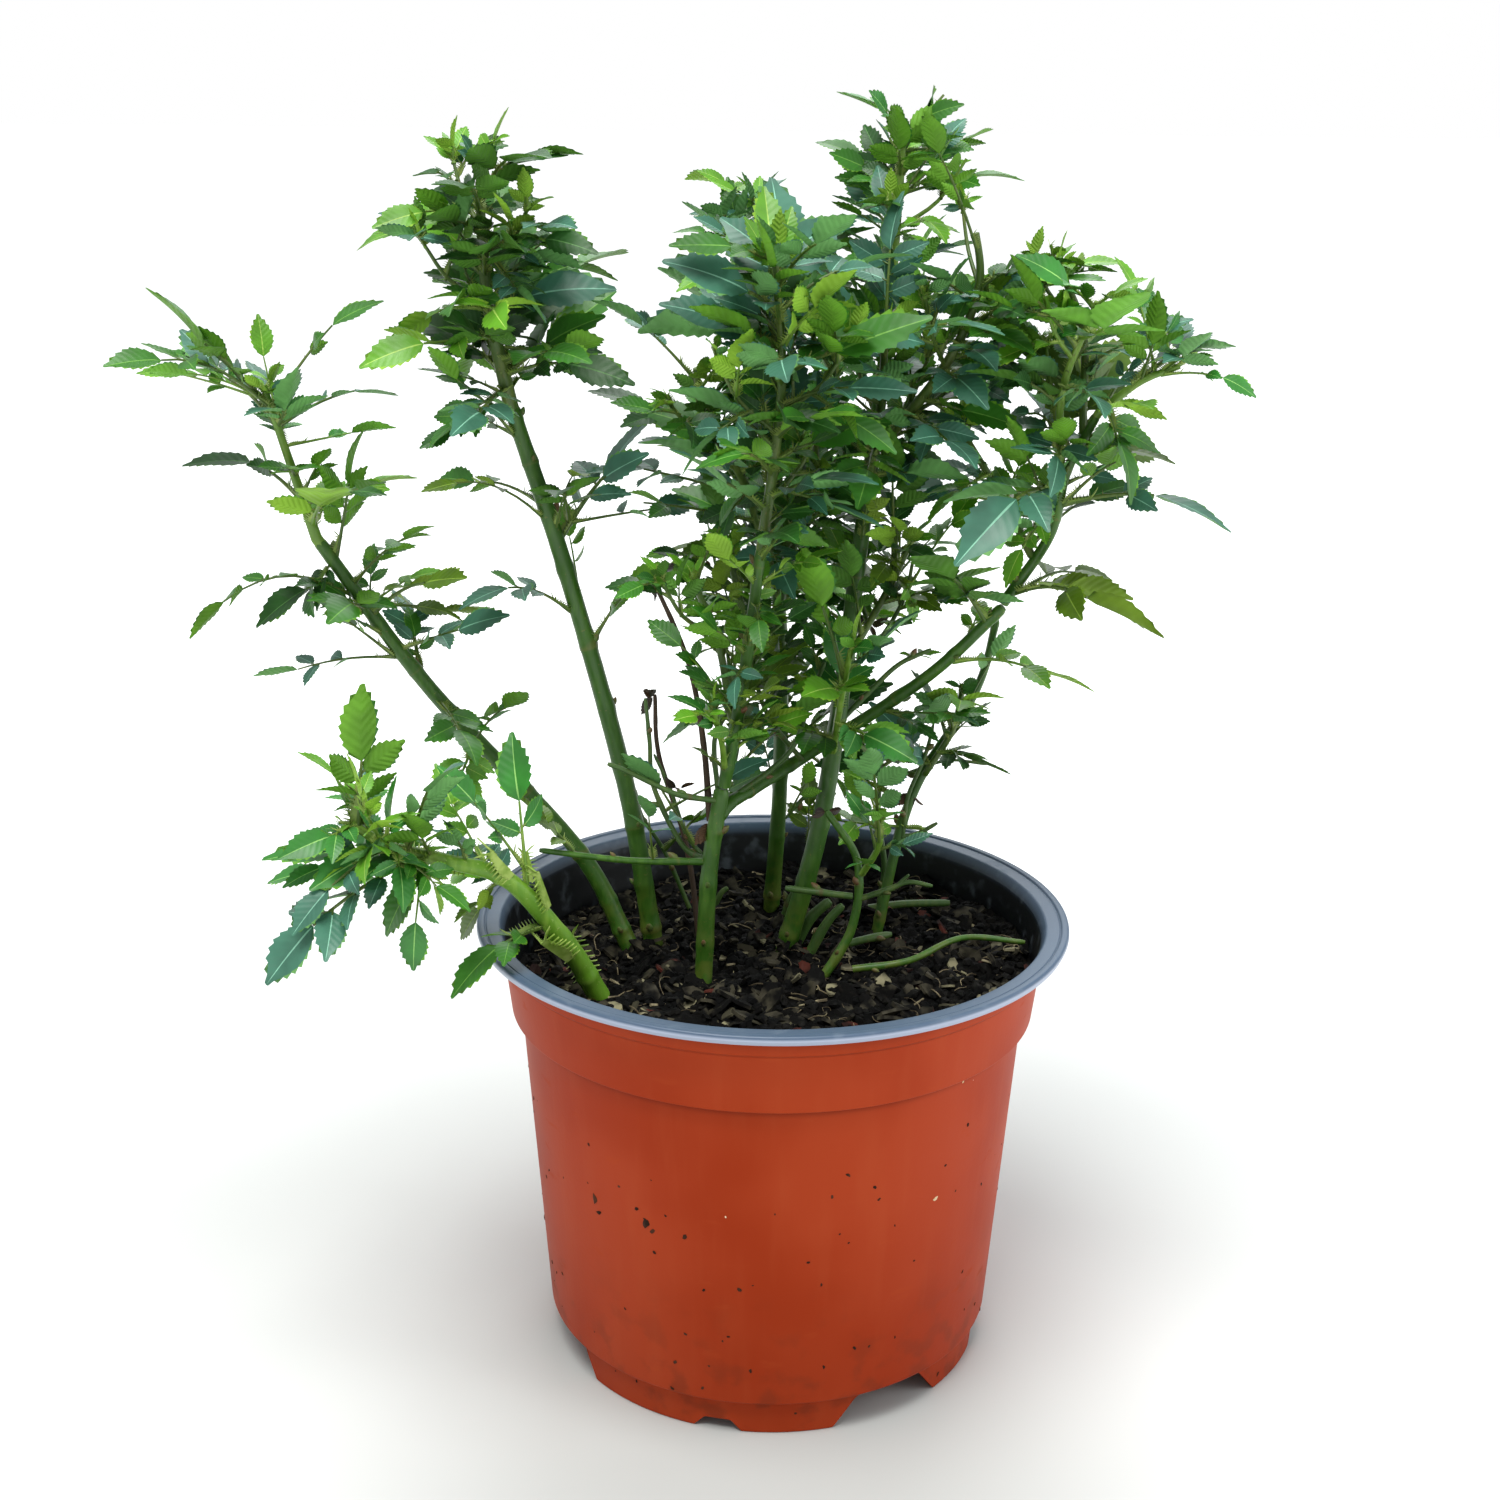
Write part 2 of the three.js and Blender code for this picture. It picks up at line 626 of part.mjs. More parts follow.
// The level at which a cane's foot is cut: just above the highest soil under it.
function levelAbove([x, y], radius) {
  const around = [0, 60, 120, 180, 240, 300].map((degrees) => {
    const angle = THREE.MathUtils.degToRad(degrees);
    return soilSurface(x + 1.5 * radius * Math.cos(angle), y + 1.5 * radius * Math.sin(angle));
  });
  return Math.max(...around) + 2 * clearance;
}

// One leaflet: a flat eight-sided blade with its root at the given point.
function makeLeaflet({ root, along, face, length }) {
  const { widthShare, thickness, fattestAt, widestAt, sunk } = leaflet;
  const blade = new THREE.OctahedronGeometry(0.5);
  const position = blade.attributes.position;
  for (let i = 0; i < position.count; i++) {
    const isSide = Math.abs(position.getY(i)) > 0.4;
    const isMiddle = isSide || Math.abs(position.getZ(i)) > 0.4;
    const middle = isSide ? widestAt : fattestAt;
    position.setX(i, isMiddle ? middle : position.getX(i) + 0.5);
  }
  blade.scale(length + sunk, length * widthShare, thickness);
  const across = new THREE.Vector3().crossVectors(face, along);
  const base = root.clone().addScaledVector(along, -sunk);
  blade.applyMatrix4(new THREE.Matrix4().makeBasis(along, across, face).setPosition(base));
  return solidOf(blade);
}

// Everything about one leaf that the rule decides: its stem and its leaflets.
function planLeaf(root, middle, tip, pairs, size, dice) {
  const { arc, stem, stemEnd, length } = planLeafStem(root, middle, tip, size);
  const stagger = set.stagger / length;
  const blades = [];
  const addBlade = (share, spread, side, bladeLength) => {
    const tangent = arc.getTangent(share);
    const face = up.clone().addScaledVector(new THREE.Vector3(tangent.x, tangent.y, 0), -set.backTilt);
    face.addScaledVector(tangent, -face.dot(tangent)).normalize();
    const across = new THREE.Vector3().crossVectors(tangent, face);
    const along = tangent.clone().multiplyScalar(Math.cos(spread));
    along.addScaledVector(across, side * Math.sin(spread));
    along.addScaledVector(face, dice(...set.rise)).normalize();
    face.addScaledVector(along, -face.dot(along)).normalize();
    face.applyAxisAngle(along, dice(-set.roll, set.roll));
    blades.push({ root: arc.getPoint(share), along, face, length: bladeLength });
  };
  addBlade(stemEnd, 0, 1, set.endLength * size);
  set.seats[pairs].forEach((seat, index) => {
    const growth = set.lowestPair + ((1 - set.lowestPair) * index) / Math.max(1, pairs - 1);
    for (const side of [-1, 1]) {
      const share = seat * stemEnd + side * stagger;
      addBlade(share, dice(...set.spread), side, size * dice(...set.sideLength) * growth);
    }
  });
  return { stem, blades };
}

// The solid leaves leave out one pair, where they have more than one.
const solidPairs = (pairs) => Math.max(1, pairs - 1);

// The arc from a leaf's root to its furthest point, and the part of it that is stem.
function planLeafStem(root, middle, tip, size) {
  const length = middle.distanceTo(root) + tip.distanceTo(middle);
  const stemEnd = Math.max(set.shortestStem, 1 - (set.endLength * size) / length);
  const arc = new THREE.QuadraticBezierCurve3(root, middle, tip);
  const bend = middle.clone().lerp(root, 1 - stemEnd);
  return { arc, stemEnd, length, stem: new THREE.QuadraticBezierCurve3(root, bend, arc.getPoint(stemEnd)) };
}

function stemSolidOf(stem) {
  const steps = stem.getLength() > leafStem.straightUpTo ? 2 : 1;
  return bentRod(stem, leafStem.rootRadius, leafStem.tipRadius, 3, steps);
}

// The solid pieces of one leaf that have room, or none where its stem has no room.
function leafPieces(owner, leaf, plan) {
  const stem = { solid: stemSolidOf(plan.stem), kind: "stem", leaf };
  if (!isClear(stem.solid, owner, stem.kind, leaf)) {
    return [];
  }
  const blades = plan.blades.map(makeLeaflet);
  const placed = [];
  for (const blade of blades) {
    const apart = placed.every((other) => other.minGap(blade, 1) >= clearance);
    if (apart && isClear(blade, owner, "blade", leaf)) {
      placed.push(blade);
    }
  }
  return [stem, ...placed.map((solid) => ({ solid, kind: "blade", leaf }))];
}

// A point beside a limb from which something can grow towards a target, just clear of the limb.
function besideLimb(name, height, target, away) {
  const { curve, radii } = curves.get(name);
  const share = shareAtHeight(curve, height);
  const centre = curve.getPoint(share);
  const tangent = curve.getTangent(share);
  const outward = target.clone().sub(centre);
  outward.addScaledVector(tangent, -outward.dot(tangent)).normalize();
  const radius = radii[0] + (radii[1] - radii[0]) * share;
  return { centre, outward, distance: radius + clearance + away };
}

// Tries roots further and further out until the stem made from the root is clear of everything.
function rootedStem(owner, name, height, target, makeStem) {
  for (let away = 0; away < 6; away += 0.2) {
    const { centre, outward, distance } = besideLimb(name, height, target, away);
    const root = centre.addScaledVector(outward, distance);
    const stem = makeStem(root);
    if (isClear(stem, owner)) {
      return root;
    }
  }
  throw new Error(`${owner} has no room beside ${name}`);
}

function archedMiddle(root, tip, arch) {
  const middle = root.clone().lerp(tip, 0.5);
  middle.z += arch;
  return middle;
}

const sprayFork = 0.12; // share of a spray's first stem at which its other leaves leave it

// The leaves of a spray share one root. Its first stem is put in place before any leaflet is.
function rootSpray(spray) {
  const { name, from, height, leaves } = spray;
  const { reach, arch, size } = leaves[0];
  const furthest = vector(reach);
  const stemOf = (root) => {
    const middle = archedMiddle(root, furthest, arch);
    return stemSolidOf(planLeafStem(root, middle, furthest, largerLong * size).stem);
  };
  const root = rootedStem(name, from, height, furthest, stemOf);
  addObstacle(name, stemOf(root));
  return { ...spray, root };
}

function leafSpray({ name, tone, leaves, root }) {
  const dice = makeDice(name.length + Math.round(root.z));
  const solids = [];
  let fork = root;
  leaves.forEach(({ reach, arch, pairs, size }, number) => {
    const tip = vector(reach);
    const middle = archedMiddle(fork, tip, arch);
    const plan = planLeaf(fork, middle, tip, solidPairs(pairs), largerLong * size, dice);
    solids.push(...settle(name, leafPieces(name, number, plan)));
    if (number === 0) {
      fork = plan.stem.getPoint(sprayFork);
    }
  });
  finish(name, fuse(solids), tone, 0.5);
}

// Puts a leaf's pieces in place and gives back their solids.
function settle(name, pieces) {
  pieces.forEach(({ solid, kind, leaf }) => addObstacle(name, solid, kind, leaf));
  return pieces.map(({ solid }) => solid);
}

function rootShoot(shoot) {
  const { name, from, height, path, radii } = shoot;
  const stemFrom = (root) => new THREE.CatmullRomCurve3([root, ...path.map(vector)], false, "catmullrom");
  const solidFrom = (root) => bentRod(stemFrom(root), radii[0], radii[1], roundStemSides, 2 * path.length);
  let root;
  if (height) {
    root = rootedStem(name, from, height, vector(path[0]), solidFrom);
  } else {
    const { curve } = curves.get(from);
    root = curve.getPoint(1).addScaledVector(curve.getTangent(1), 1.4 * clearance);
  }
  const stemSolid = solidFrom(root);
  addObstacle(name, stemSolid);
  return { ...shoot, stem: stemFrom(root), stemSolid };
}

function leafShoot({ name, stem, stemSolid, leaves, length, size, tone, seed, long }) {
  const dice = makeDice(seed);
  const solids = [stemSolid];
  long.forEach(({ reach, arch, pairs, size: longSize }, number) => {
    const tip = vector(reach);
    const seat = stem.getPoint(nearestShare(stem, tip));
    const middle = archedMiddle(seat, tip, arch);
    const plan = planLeaf(seat, middle, tip, solidPairs(pairs), largerLong * longSize, dice);
    solids.push(...settle(name, leafPieces(name, number, plan)));
  });
  const count = Math.max(3, Math.round(leaves * fewerLeaves));
  for (let i = 0; i < count; i++) {
    const round = { share: (i + 0.6) / count, degrees: (i + seed) * habit.turn, length, size };
    solids.push(...settle(name, placeLeafRound(name, long.length + i, stem, round, dice)));
  }
  finish(name, fuse(solids), tone, 0.5);
}

// A long leaf leaves the stem a little below the height of its tip.
function nearestShare(stem, tip) {
  const below = 8;
  const shares = [0.1, 0.2, 0.3, 0.4, 0.5, 0.6, 0.7, 0.8, 0.9];
  const gapAt = (share) => Math.abs(stem.getPoint(share).z + below - tip.z);
  return shares.reduce((best, share) => (gapAt(share) < gapAt(best) ? share : best));
}

// One leaf on a shoot; where it has no room, the directions next to it are tried.
function placeLeafRound(owner, number, stem, { share, degrees, length, size }, dice) {
  const seat = stem.getPoint(share);
  const axis = stem.getTangent(share);
  const first = new THREE.Vector3().crossVectors(new THREE.Vector3(1, 0, 0), axis).normalize();
  const second = new THREE.Vector3().crossVectors(axis, first);
  const lean = THREE.MathUtils.degToRad(dice(...habit.lean) - habit.uprightAtTip * share);
  const smaller = 1 - habit.smallerAtTip * share;
  const reach = length * dice(...habit.reach) * smaller;
  const droop = dice(...habit.droop);
  let best = [];
  for (let attempt = 0; attempt < mostTries; attempt++) {
    const angle = THREE.MathUtils.degToRad(degrees + nextTry * attempt);
    const outward = first.clone().multiplyScalar(Math.cos(angle)).addScaledVector(second, Math.sin(angle));
    const start = axis.clone().multiplyScalar(Math.cos(lean)).addScaledVector(outward, Math.sin(lean));
    const end = start.clone().addScaledVector(up, -droop);
    end.addScaledVector(outward, habit.outward).normalize();
    const middle = seat.clone().addScaledVector(start, reach / 2);
    const tip = middle.clone().addScaledVector(end, reach / 2);
    const plan = planLeaf(seat, middle, tip, 1, largerRound * size * smaller, dice);
    const pieces = leafPieces(owner, number, plan);
    if (pieces.length > best.length) {
      best = pieces;
    }
    if (best.length > plan.blades.length) {
      break;
    }
  }
  return best;
}

// Assembly

const potSolid = makePot();
addObstacle("pot", potSolid);
finish("pot", potSolid, 0xaa4024, 0.45);
const soilSolid = makeSoil();
addObstacle("potting_soil", soilSolid);
finish("potting_soil", soilSolid, 0x231a14, 0.95);
canes.forEach((cane) => makeLimb(cane, true));
boughs.forEach((bough) => makeLimb(bough, false));
const rootedShoots = shoots.map(rootShoot);
const rootedSprays = sprays.map(rootSpray);
rootedSprays.forEach(leafSpray);
rootedShoots.forEach(leafShoot);

const roseBush = new THREE.Group();
for (const { name, solid, colour, roughness } of finished) {
  const material = new THREE.MeshStandardMaterial({ color: colour, roughness, metalness: 0 });
  const mesh = new THREE.Mesh(geometryOf(solid), material);
  mesh.name = name;
  roseBush.add(mesh);
}
const extent = new THREE.Box3().setFromObject(roseBush);
const middle = extent.getCenter(new THREE.Vector3());
roseBush.children.forEach((mesh) => mesh.geometry.translate(-middle.x, -middle.y, -extent.min.z));

export default roseBush;
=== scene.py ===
import json
import math

import bmesh
import bpy
import numpy as np
from mathutils import Matrix, Vector, noise

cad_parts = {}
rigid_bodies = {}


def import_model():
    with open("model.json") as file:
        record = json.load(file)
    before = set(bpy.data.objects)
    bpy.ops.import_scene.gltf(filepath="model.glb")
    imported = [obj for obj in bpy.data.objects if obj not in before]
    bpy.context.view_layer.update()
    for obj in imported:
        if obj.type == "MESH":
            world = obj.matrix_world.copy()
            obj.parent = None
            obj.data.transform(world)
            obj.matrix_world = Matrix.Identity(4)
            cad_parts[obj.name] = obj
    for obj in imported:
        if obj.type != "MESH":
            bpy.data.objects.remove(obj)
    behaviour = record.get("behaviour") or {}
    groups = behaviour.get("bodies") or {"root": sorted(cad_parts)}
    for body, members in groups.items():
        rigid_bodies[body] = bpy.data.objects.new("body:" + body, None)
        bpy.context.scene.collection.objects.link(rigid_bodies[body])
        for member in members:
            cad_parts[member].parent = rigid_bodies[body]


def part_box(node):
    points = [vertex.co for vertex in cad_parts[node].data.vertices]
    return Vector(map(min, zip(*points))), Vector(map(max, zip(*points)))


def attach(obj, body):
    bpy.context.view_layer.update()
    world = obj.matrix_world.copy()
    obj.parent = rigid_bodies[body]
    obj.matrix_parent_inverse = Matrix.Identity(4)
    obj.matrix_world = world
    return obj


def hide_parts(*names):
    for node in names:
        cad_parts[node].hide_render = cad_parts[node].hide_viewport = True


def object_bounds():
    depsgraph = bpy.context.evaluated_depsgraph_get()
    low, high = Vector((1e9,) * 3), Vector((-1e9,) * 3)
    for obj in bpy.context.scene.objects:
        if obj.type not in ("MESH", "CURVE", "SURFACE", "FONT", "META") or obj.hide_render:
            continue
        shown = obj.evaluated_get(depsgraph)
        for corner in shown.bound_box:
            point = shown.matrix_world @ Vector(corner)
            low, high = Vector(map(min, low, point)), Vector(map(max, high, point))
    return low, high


# A young rose bush in its nursery pot. Sizes are in millimetres from the middle of the pot's foot,
# and placed() turns them into the frame's metres.
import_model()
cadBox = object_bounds()
potLow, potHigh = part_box("pot")
potFoot = Vector(((potLow.x + potHigh.x) / 2, (potLow.y + potHigh.y) / 2, 0))
mm = 0.001
plantLow, plantHigh = ((corner - potFoot) / mm for corner in cadBox)  # how far leaves may reach
up = Vector((0, 0, 1))


def placed(point):
    return potFoot + Vector(point) * mm


view = {"lens": 49.77, "sensor": 36, "at": (-5.8, -492.3, 313.7), "down": 17.47, "yaw": -0.05, "roll": 0.6}
lamps = {  # place and target in millimetres from the pot's foot, size in metres, power in watts
    "keyLight": {"at": (-250, -500, 1700), "size": 0.9, "power": 30, "colour": (1.0, 0.99, 0.97)},
    "sideLight": {"at": (1300, -350, 700), "size": 0.9, "power": 7.5, "colour": (0.97, 0.985, 1.0)},
    "backLight": {"at": (200, 1300, 1200), "size": 1.0, "power": 8, "colour": (0.97, 1.0, 1.0)},
}
lampTarget = (0, 0, 170)
sky = {"colour": (0.95, 0.98, 1.0), "strength": 0.5, "seen": 1.0}


def makeCamera():
    down, yaw, roll = (math.radians(view[key]) for key in ("down", "yaw", "roll"))
    forward = Vector((math.sin(yaw) * math.cos(down), math.cos(yaw) * math.cos(down), -math.sin(down)))
    level = Vector((math.cos(yaw), -math.sin(yaw), 0))
    lift = level.cross(forward)
    right = level * math.cos(roll) + lift * math.sin(roll)
    top = lift * math.cos(roll) - level * math.sin(roll)
    data = bpy.data.cameras.new("camera")
    data.lens = view["lens"]
    data.sensor_width = view["sensor"]
    camera = bpy.data.objects.new("camera", data)
    axes = Matrix((right, top, -forward)).transposed().to_4x4()
    camera.matrix_world = Matrix.Translation(placed(view["at"])) @ axes
    bpy.context.collection.objects.link(camera)
    bpy.context.scene.camera = camera


def makeLights():
    for name, lamp in lamps.items():
        data = bpy.data.lights.new(name, "AREA")
        data.size = lamp["size"]
        data.energy = lamp["power"]
        data.color = lamp["colour"]
        light = bpy.data.objects.new(name, data)
        light.location = placed(lamp["at"])
        light.rotation_euler = (placed(lampTarget) - light.location).to_track_quat("-Z", "Y").to_euler()
        bpy.context.collection.objects.link(light)
    world = bpy.data.worlds.new("studio")
    world.use_nodes = True
    world.node_tree.nodes.clear()
    g = Graph(world.node_tree)
    light = g.node("ShaderNodeBackground", {}, {"Color": (*sky["colour"], 1), "Strength": sky["strength"]})
    seen = g.node("ShaderNodeBackground", {}, {"Color": (1, 1, 1, 1), "Strength": sky["seen"]})
    isSeen = g.node("ShaderNodeLightPath", output="Is Camera Ray")
    both = g.node("ShaderNodeMixShader", {}, {0: isSeen, 1: light, 2: seen})
    g.node("ShaderNodeOutputWorld", {}, {"Surface": both})
    bpy.context.scene.world = world
    bpy.context.scene.view_settings.view_transform = "Standard"


# Node trees, for materials and for geometry alike

class Wire:  # one output of a node, so that node maths can be written as an expression
    def __init__(self, graph, socket):
        self.graph = graph
        self.socket = socket

    def out(self, name):
        return Wire(self.graph, self.socket.node.outputs[name])

    def maths(self, operation, other, swapped=False):
        pair = [other, self] if swapped else [self, other]
        return self.graph.node("ShaderNodeMath", {"operation": operation}, {0: pair[0], 1: pair[1]})

    def __add__(self, other):
        return self.maths("ADD", other)

    def __sub__(self, other):
        return self.maths("SUBTRACT", other)

    def __rsub__(self, other):
        return self.maths("SUBTRACT", other, swapped=True)

    def __mul__(self, other):
        return self.maths("MULTIPLY", other)

    __radd__ = __add__
    __rmul__ = __mul__


class Graph:
    def __init__(self, tree):
        self.tree = tree

    # Any node: its settings come first, then the values or links of its inputs, by name or by number.
    def node(self, kind, settings=None, inputs=None, output=0):
        made = self.tree.nodes.new(kind)
        for name, value in (settings or {}).items():
            if name == "stops":
                self.setStops(made.color_ramp, value)
            else:
                setattr(made, name, value)
        for key, value in (inputs or {}).items():
            if isinstance(value, Wire):
                self.tree.links.new(value.socket, made.inputs[key])
            else:
                made.inputs[key].default_value = value
        return Wire(self, made.outputs[output]) if made.outputs else None

    def setStops(self, ramp, stops):
        while len(ramp.elements) < len(stops):
            ramp.elements.new(1)
        for element, (place, colour) in zip(ramp.elements, stops):
            element.position = place
            element.color = colour

    def place(self, scale=(1, 1, 1)):
        where = self.node("ShaderNodeTexCoord", output="Object")
        return self.vector("MULTIPLY", where, scale)

    def vector(self, operation, first, second=(0, 0, 0), output=0):
        return self.node("ShaderNodeVectorMath", {"operation": operation}, {0: first, 1: second}, output)

    def length(self, vector):
        return self.vector("LENGTH", vector, output="Value")

    def part(self, vector, name):
        return self.node("ShaderNodeSeparateXYZ", {}, {0: vector}, output=name)

    def cloud(self, where, size, detail=3.0):  # size is that of one blotch, in metres
        return self.node("ShaderNodeTexNoise", {}, {"Vector": where, "Scale": 1 / size, "Detail": detail})

    def mask(self, value, low, high):  # 0 below low and 1 above high
        inputs = {"Value": value, "From Min": low, "From Max": high}
        return self.node("ShaderNodeMapRange", {"interpolation_type": "SMOOTHSTEP"}, inputs)

    def band(self, value, start, full, last, end):  # 1 from full to last
        return self.mask(value, start, full) * (1 - self.mask(value, last, end))

    def mix(self, share, low, high):
        return self.node("ShaderNodeMix", {"data_type": "RGBA"}, {0: share, 6: low, 7: high}, output=2)

    def bump(self, height, distance, strength=1.0):
        return self.node("ShaderNodeBump", {}, {"Height": height, "Distance": distance, "Strength": strength})


def paint(text):  # a colour written as on screen, such as "aa4024"
    values = [int(text[i:i + 2], 16) / 255 for i in (0, 2, 4)]
    return tuple(v / 12.92 if v <= 0.04045 else ((v + 0.055) / 1.055) ** 2.4 for v in values) + (1.0,)


def makeMaterial(name, describe):
    made = bpy.data.materials.new(name)
    made.use_nodes = True
    made.node_tree.nodes.clear()
    graph = Graph(made.node_tree)
    shader = graph.node("ShaderNodeBsdfPrincipled", {}, describe(graph), output="BSDF")
    graph.node("ShaderNodeOutputMaterial", {}, {"Surface": shader})
    return made


# Meshes

def meshObject(name, points, faces, material=None, smooth=None):
    mesh = bpy.data.meshes.new(name)
    mesh.from_pydata([placed(point) for point in points], [], faces)
    return meshPiece(name, mesh, material, smooth)


def meshPiece(name, mesh, material=None, smooth=None):
    cleanUp(mesh, smooth)
    if material:
        mesh.materials.append(material)
    piece = bpy.data.objects.new(name, mesh)
    bpy.context.collection.objects.link(piece)
    return piece


def cleanUp(mesh, smooth=None, thick=None):  # turns all faces out; thick is in millimetres
    shape = bmesh.new()
    shape.from_mesh(mesh)
    bmesh.ops.recalc_face_normals(shape, faces=shape.faces)
    if thick:
        bmesh.ops.solidify(shape, geom=shape.faces[:], thickness=thick * mm)
        bmesh.ops.recalc_face_normals(shape, faces=shape.faces)
        order = Vector((1, 1.7, 2.9))  # so that points and faces come in the same order each run
        shape.verts.sort(key=lambda vertex: vertex.co.dot(order))
        shape.faces.sort(key=lambda face: face.calc_center_median().dot(order))
    shape.to_mesh(mesh)
    shape.free()
    if smooth:
        smoothOver(mesh, smooth)


def smoothOver(mesh, angle):  # edges that turn more than the angle stay sharp
    mesh.shade_smooth()
    mesh.set_sharp_from_angle(angle=math.radians(angle))


def setAttribute(mesh, name, kind, values, domain="POINT"):
    layer = mesh.attributes.new(name, kind, domain)
    layer.data.foreach_set("vector" if kind == "FLOAT_VECTOR" else "value", values)


def workIn(piece):  # the piece keeps what its modifiers make, as a plain mesh
    graph = bpy.context.evaluated_depsgraph_get()
    mesh = bpy.data.meshes.new_from_object(piece.evaluated_get(graph), depsgraph=graph)
    piece.modifiers.clear()
    piece.data = mesh
    return piece


def remove(*pieces):
    for piece in pieces:
        bpy.data.objects.remove(piece)


# Rounds the corners of an outline, all but the first and the last. Each is (x, y) or (x, y, radius).
def rounded(corners):
    steps = 4
    outline = []
    for i, (x, y, *rest) in enumerate(corners):
        here = Vector((x, y))
        if i in (0, len(corners) - 1) or not rest:
            outline.append(here)
            continue
        before = (Vector(corners[i - 1][:2]) - here).normalized()
        after = (Vector(corners[i + 1][:2]) - here).normalized()
        half = before.angle(after) / 2
        cut = rest[0] / math.tan(half)
        centre = here + (before + after).normalized() * rest[0] / math.sin(half)
        start = here + before * cut - centre
        sign = 1 if before.x * after.y - before.y * after.x < 0 else -1
        turn = sign * (math.pi - 2 * half)
        for step in range(steps + 1):
            cos, sin = math.cos(turn * step / steps), math.sin(turn * step / steps)
            outline.append(centre + Vector((start.x * cos - start.y * sin, start.x * sin + start.y * cos)))
    return outline


# Pot

pot = {
    "height": 115.9, "rimRadius": 75.0, "rimDepth": 2.4, "beadWidth": 1.9, "rimInner": 69.2, "neck": 69.9,
    "wall": 1.2, "collarTop": (68.4, 107.8), "collarFoot": (66.6, 92.9), "bodyTop": 64.1,
    "bodyFoot": (57.95, 9.4),
    "footRadius": 55.6, "footWall": 1.4, "floor": 8.4, "sides": 192, "sharpOver": 32, "gapsUpTo": 10,
    "wideGaps": {"angles": (-57, 97, -158), "width": 18.5, "height": 8.2, "slant": 6.5, "round": 4.0},
    "smallNotches": {"angles": (-103, -12, 46, 149), "width": 6.5, "height": 3.1, "slant": 3, "round": 1.4},
}
clay = {"colour": "a73b18", "pale": "b04a26", "deep": "992d05", "shade": "571503", "roughness": 0.46}
# Of the lining colours, deep is painted shade inside the pot and edge is a painted highlight along the rim's
# lower edge.
lining = {"colour": "4a5d74", "deep": "06090c", "dust": "8794a1", "edge": "c3cbe0", "roughness": 0.4}


def between(ends, share):
    return ends[0] + (ends[1] - ends[0]) * share


def wallInside(height):  # the radius inside the wall at a height
    bodyRadius, bodyHeight = pot["bodyFoot"]
    collarRadius, collarHeight = pot["collarFoot"]
    if height < collarHeight:
        share = (height - bodyHeight) / (collarHeight - bodyHeight)
        return between((bodyRadius, pot["bodyTop"]), share) - pot["wall"]
    topRadius, topHeight = pot["collarTop"]
    share = (height - collarHeight) / (topHeight - collarHeight)
    return between((collarRadius, topRadius), share) - pot["wall"]


def potOutline():  # the wall's section, and where on it the clay colour gives way to the lining
    top, rim, wall = pot["height"], pot["rimRadius"], pot["wall"]
    under = top - pot["rimDepth"]
    footInside = pot["footRadius"] - pot["footWall"]
    bodyRadius, bodyHeight = pot["bodyFoot"]
    collarRadius, collarHeight = pot["collarFoot"]
    neckRadius, neckHeight = pot["collarTop"]
    bead = rim - pot["beadWidth"]
    outside = [
        (0, pot["floor"]), (footInside, pot["floor"], 0.6), (footInside, 0, 0.3), (pot["footRadius"], 0, 0.4),
        (pot["footRadius"], bodyHeight - 0.5, 0.3), (bodyRadius, bodyHeight + 0.2, 0.8),
        (pot["bodyTop"], collarHeight - 0.9, 0.4), (collarRadius, collarHeight, 0.7),
        (neckRadius, neckHeight, 0.3), (neckRadius + 0.6, neckHeight + 0.6, 0.3),
        (pot["neck"], under, 0.6), (rim - 0.5, under, 0.35), (rim, under + 1.1, 0.5),
    ]
    inside = [
        (rim, under + 1.1), (rim - 0.1, top, 0.7), (bead, top, 0.5), (bead - 0.25, top - 0.65, 0.2),
        (bead - 0.6, top - 0.35, 0.3), (pot["rimInner"], top - 0.6, 0.9),
        (pot["neck"] - 1.9, under - 0.8, 0.6), (neckRadius - wall, neckHeight, 0.5),
        (collarRadius - wall, collarHeight + 1.0, 0.5), (pot["bodyTop"] - wall, collarHeight, 0.5),
        (wallInside(11), 11, 1.0), (bodyRadius - 3, bodyHeight + 0.2), (0, bodyHeight + 0.2),
    ]
    line = rounded(outside + inside[1:])
    turn = next(i for i, point in enumerate(line) if point.y > under + 0.1 and point.x > rim - 0.6)
    return line, turn


def gapCutter(angle, gap):
    half, bend = gap["width"] / 2, gap["round"]
    foot = half + gap["slant"]
    outline = rounded([
        (-foot - 2.5, -3), (-foot, 0, bend / 2), (-half, gap["height"], bend),
        (half, gap["height"], bend), (foot, 0, bend / 2), (foot + 2.5, -3),
    ])
    turn = math.radians(angle)
    out, side = Vector((math.cos(turn), math.sin(turn), 0)), Vector((-math.sin(turn), math.cos(turn), 0))
    ends = [pot["footRadius"] - 6, pot["footRadius"] + 6]
    points = [out * reach + side * x + up * z for reach in ends for x, z in outline]
    count = len(outline)
    walls = [(i, (i + 1) % count, (i + 1) % count + count, i + count) for i in range(count)]
    return points, [tuple(range(count)), tuple(range(2 * count - 1, count - 1, -1)), *walls]


def lathe(outline, sides):  # an outline of (radius, height) that starts and ends on the axis
    points = [(0, 0, outline[0].y)]
    for radius, height in outline[1:-1]:
        for i in range(sides):
            angle = 2 * math.pi * i / sides
            points.append((radius * math.cos(angle), radius * math.sin(angle), height))
    points.append((0, 0, outline[-1].y))
    last = len(points) - 1
    faces = []
    for ring in range(len(outline) - 1):
        low, high = 1 + (ring - 1) * sides, 1 + ring * sides
        for i in range(sides):
            j = (i + 1) % sides
            if ring == 0:
                faces.append((0, high + i, high + j))
            elif ring == len(outline) - 2:
                faces.append((low + i, last, low + j))
            else:
                faces.append((low + i, high + i, high + j, low + j))
    return points, faces


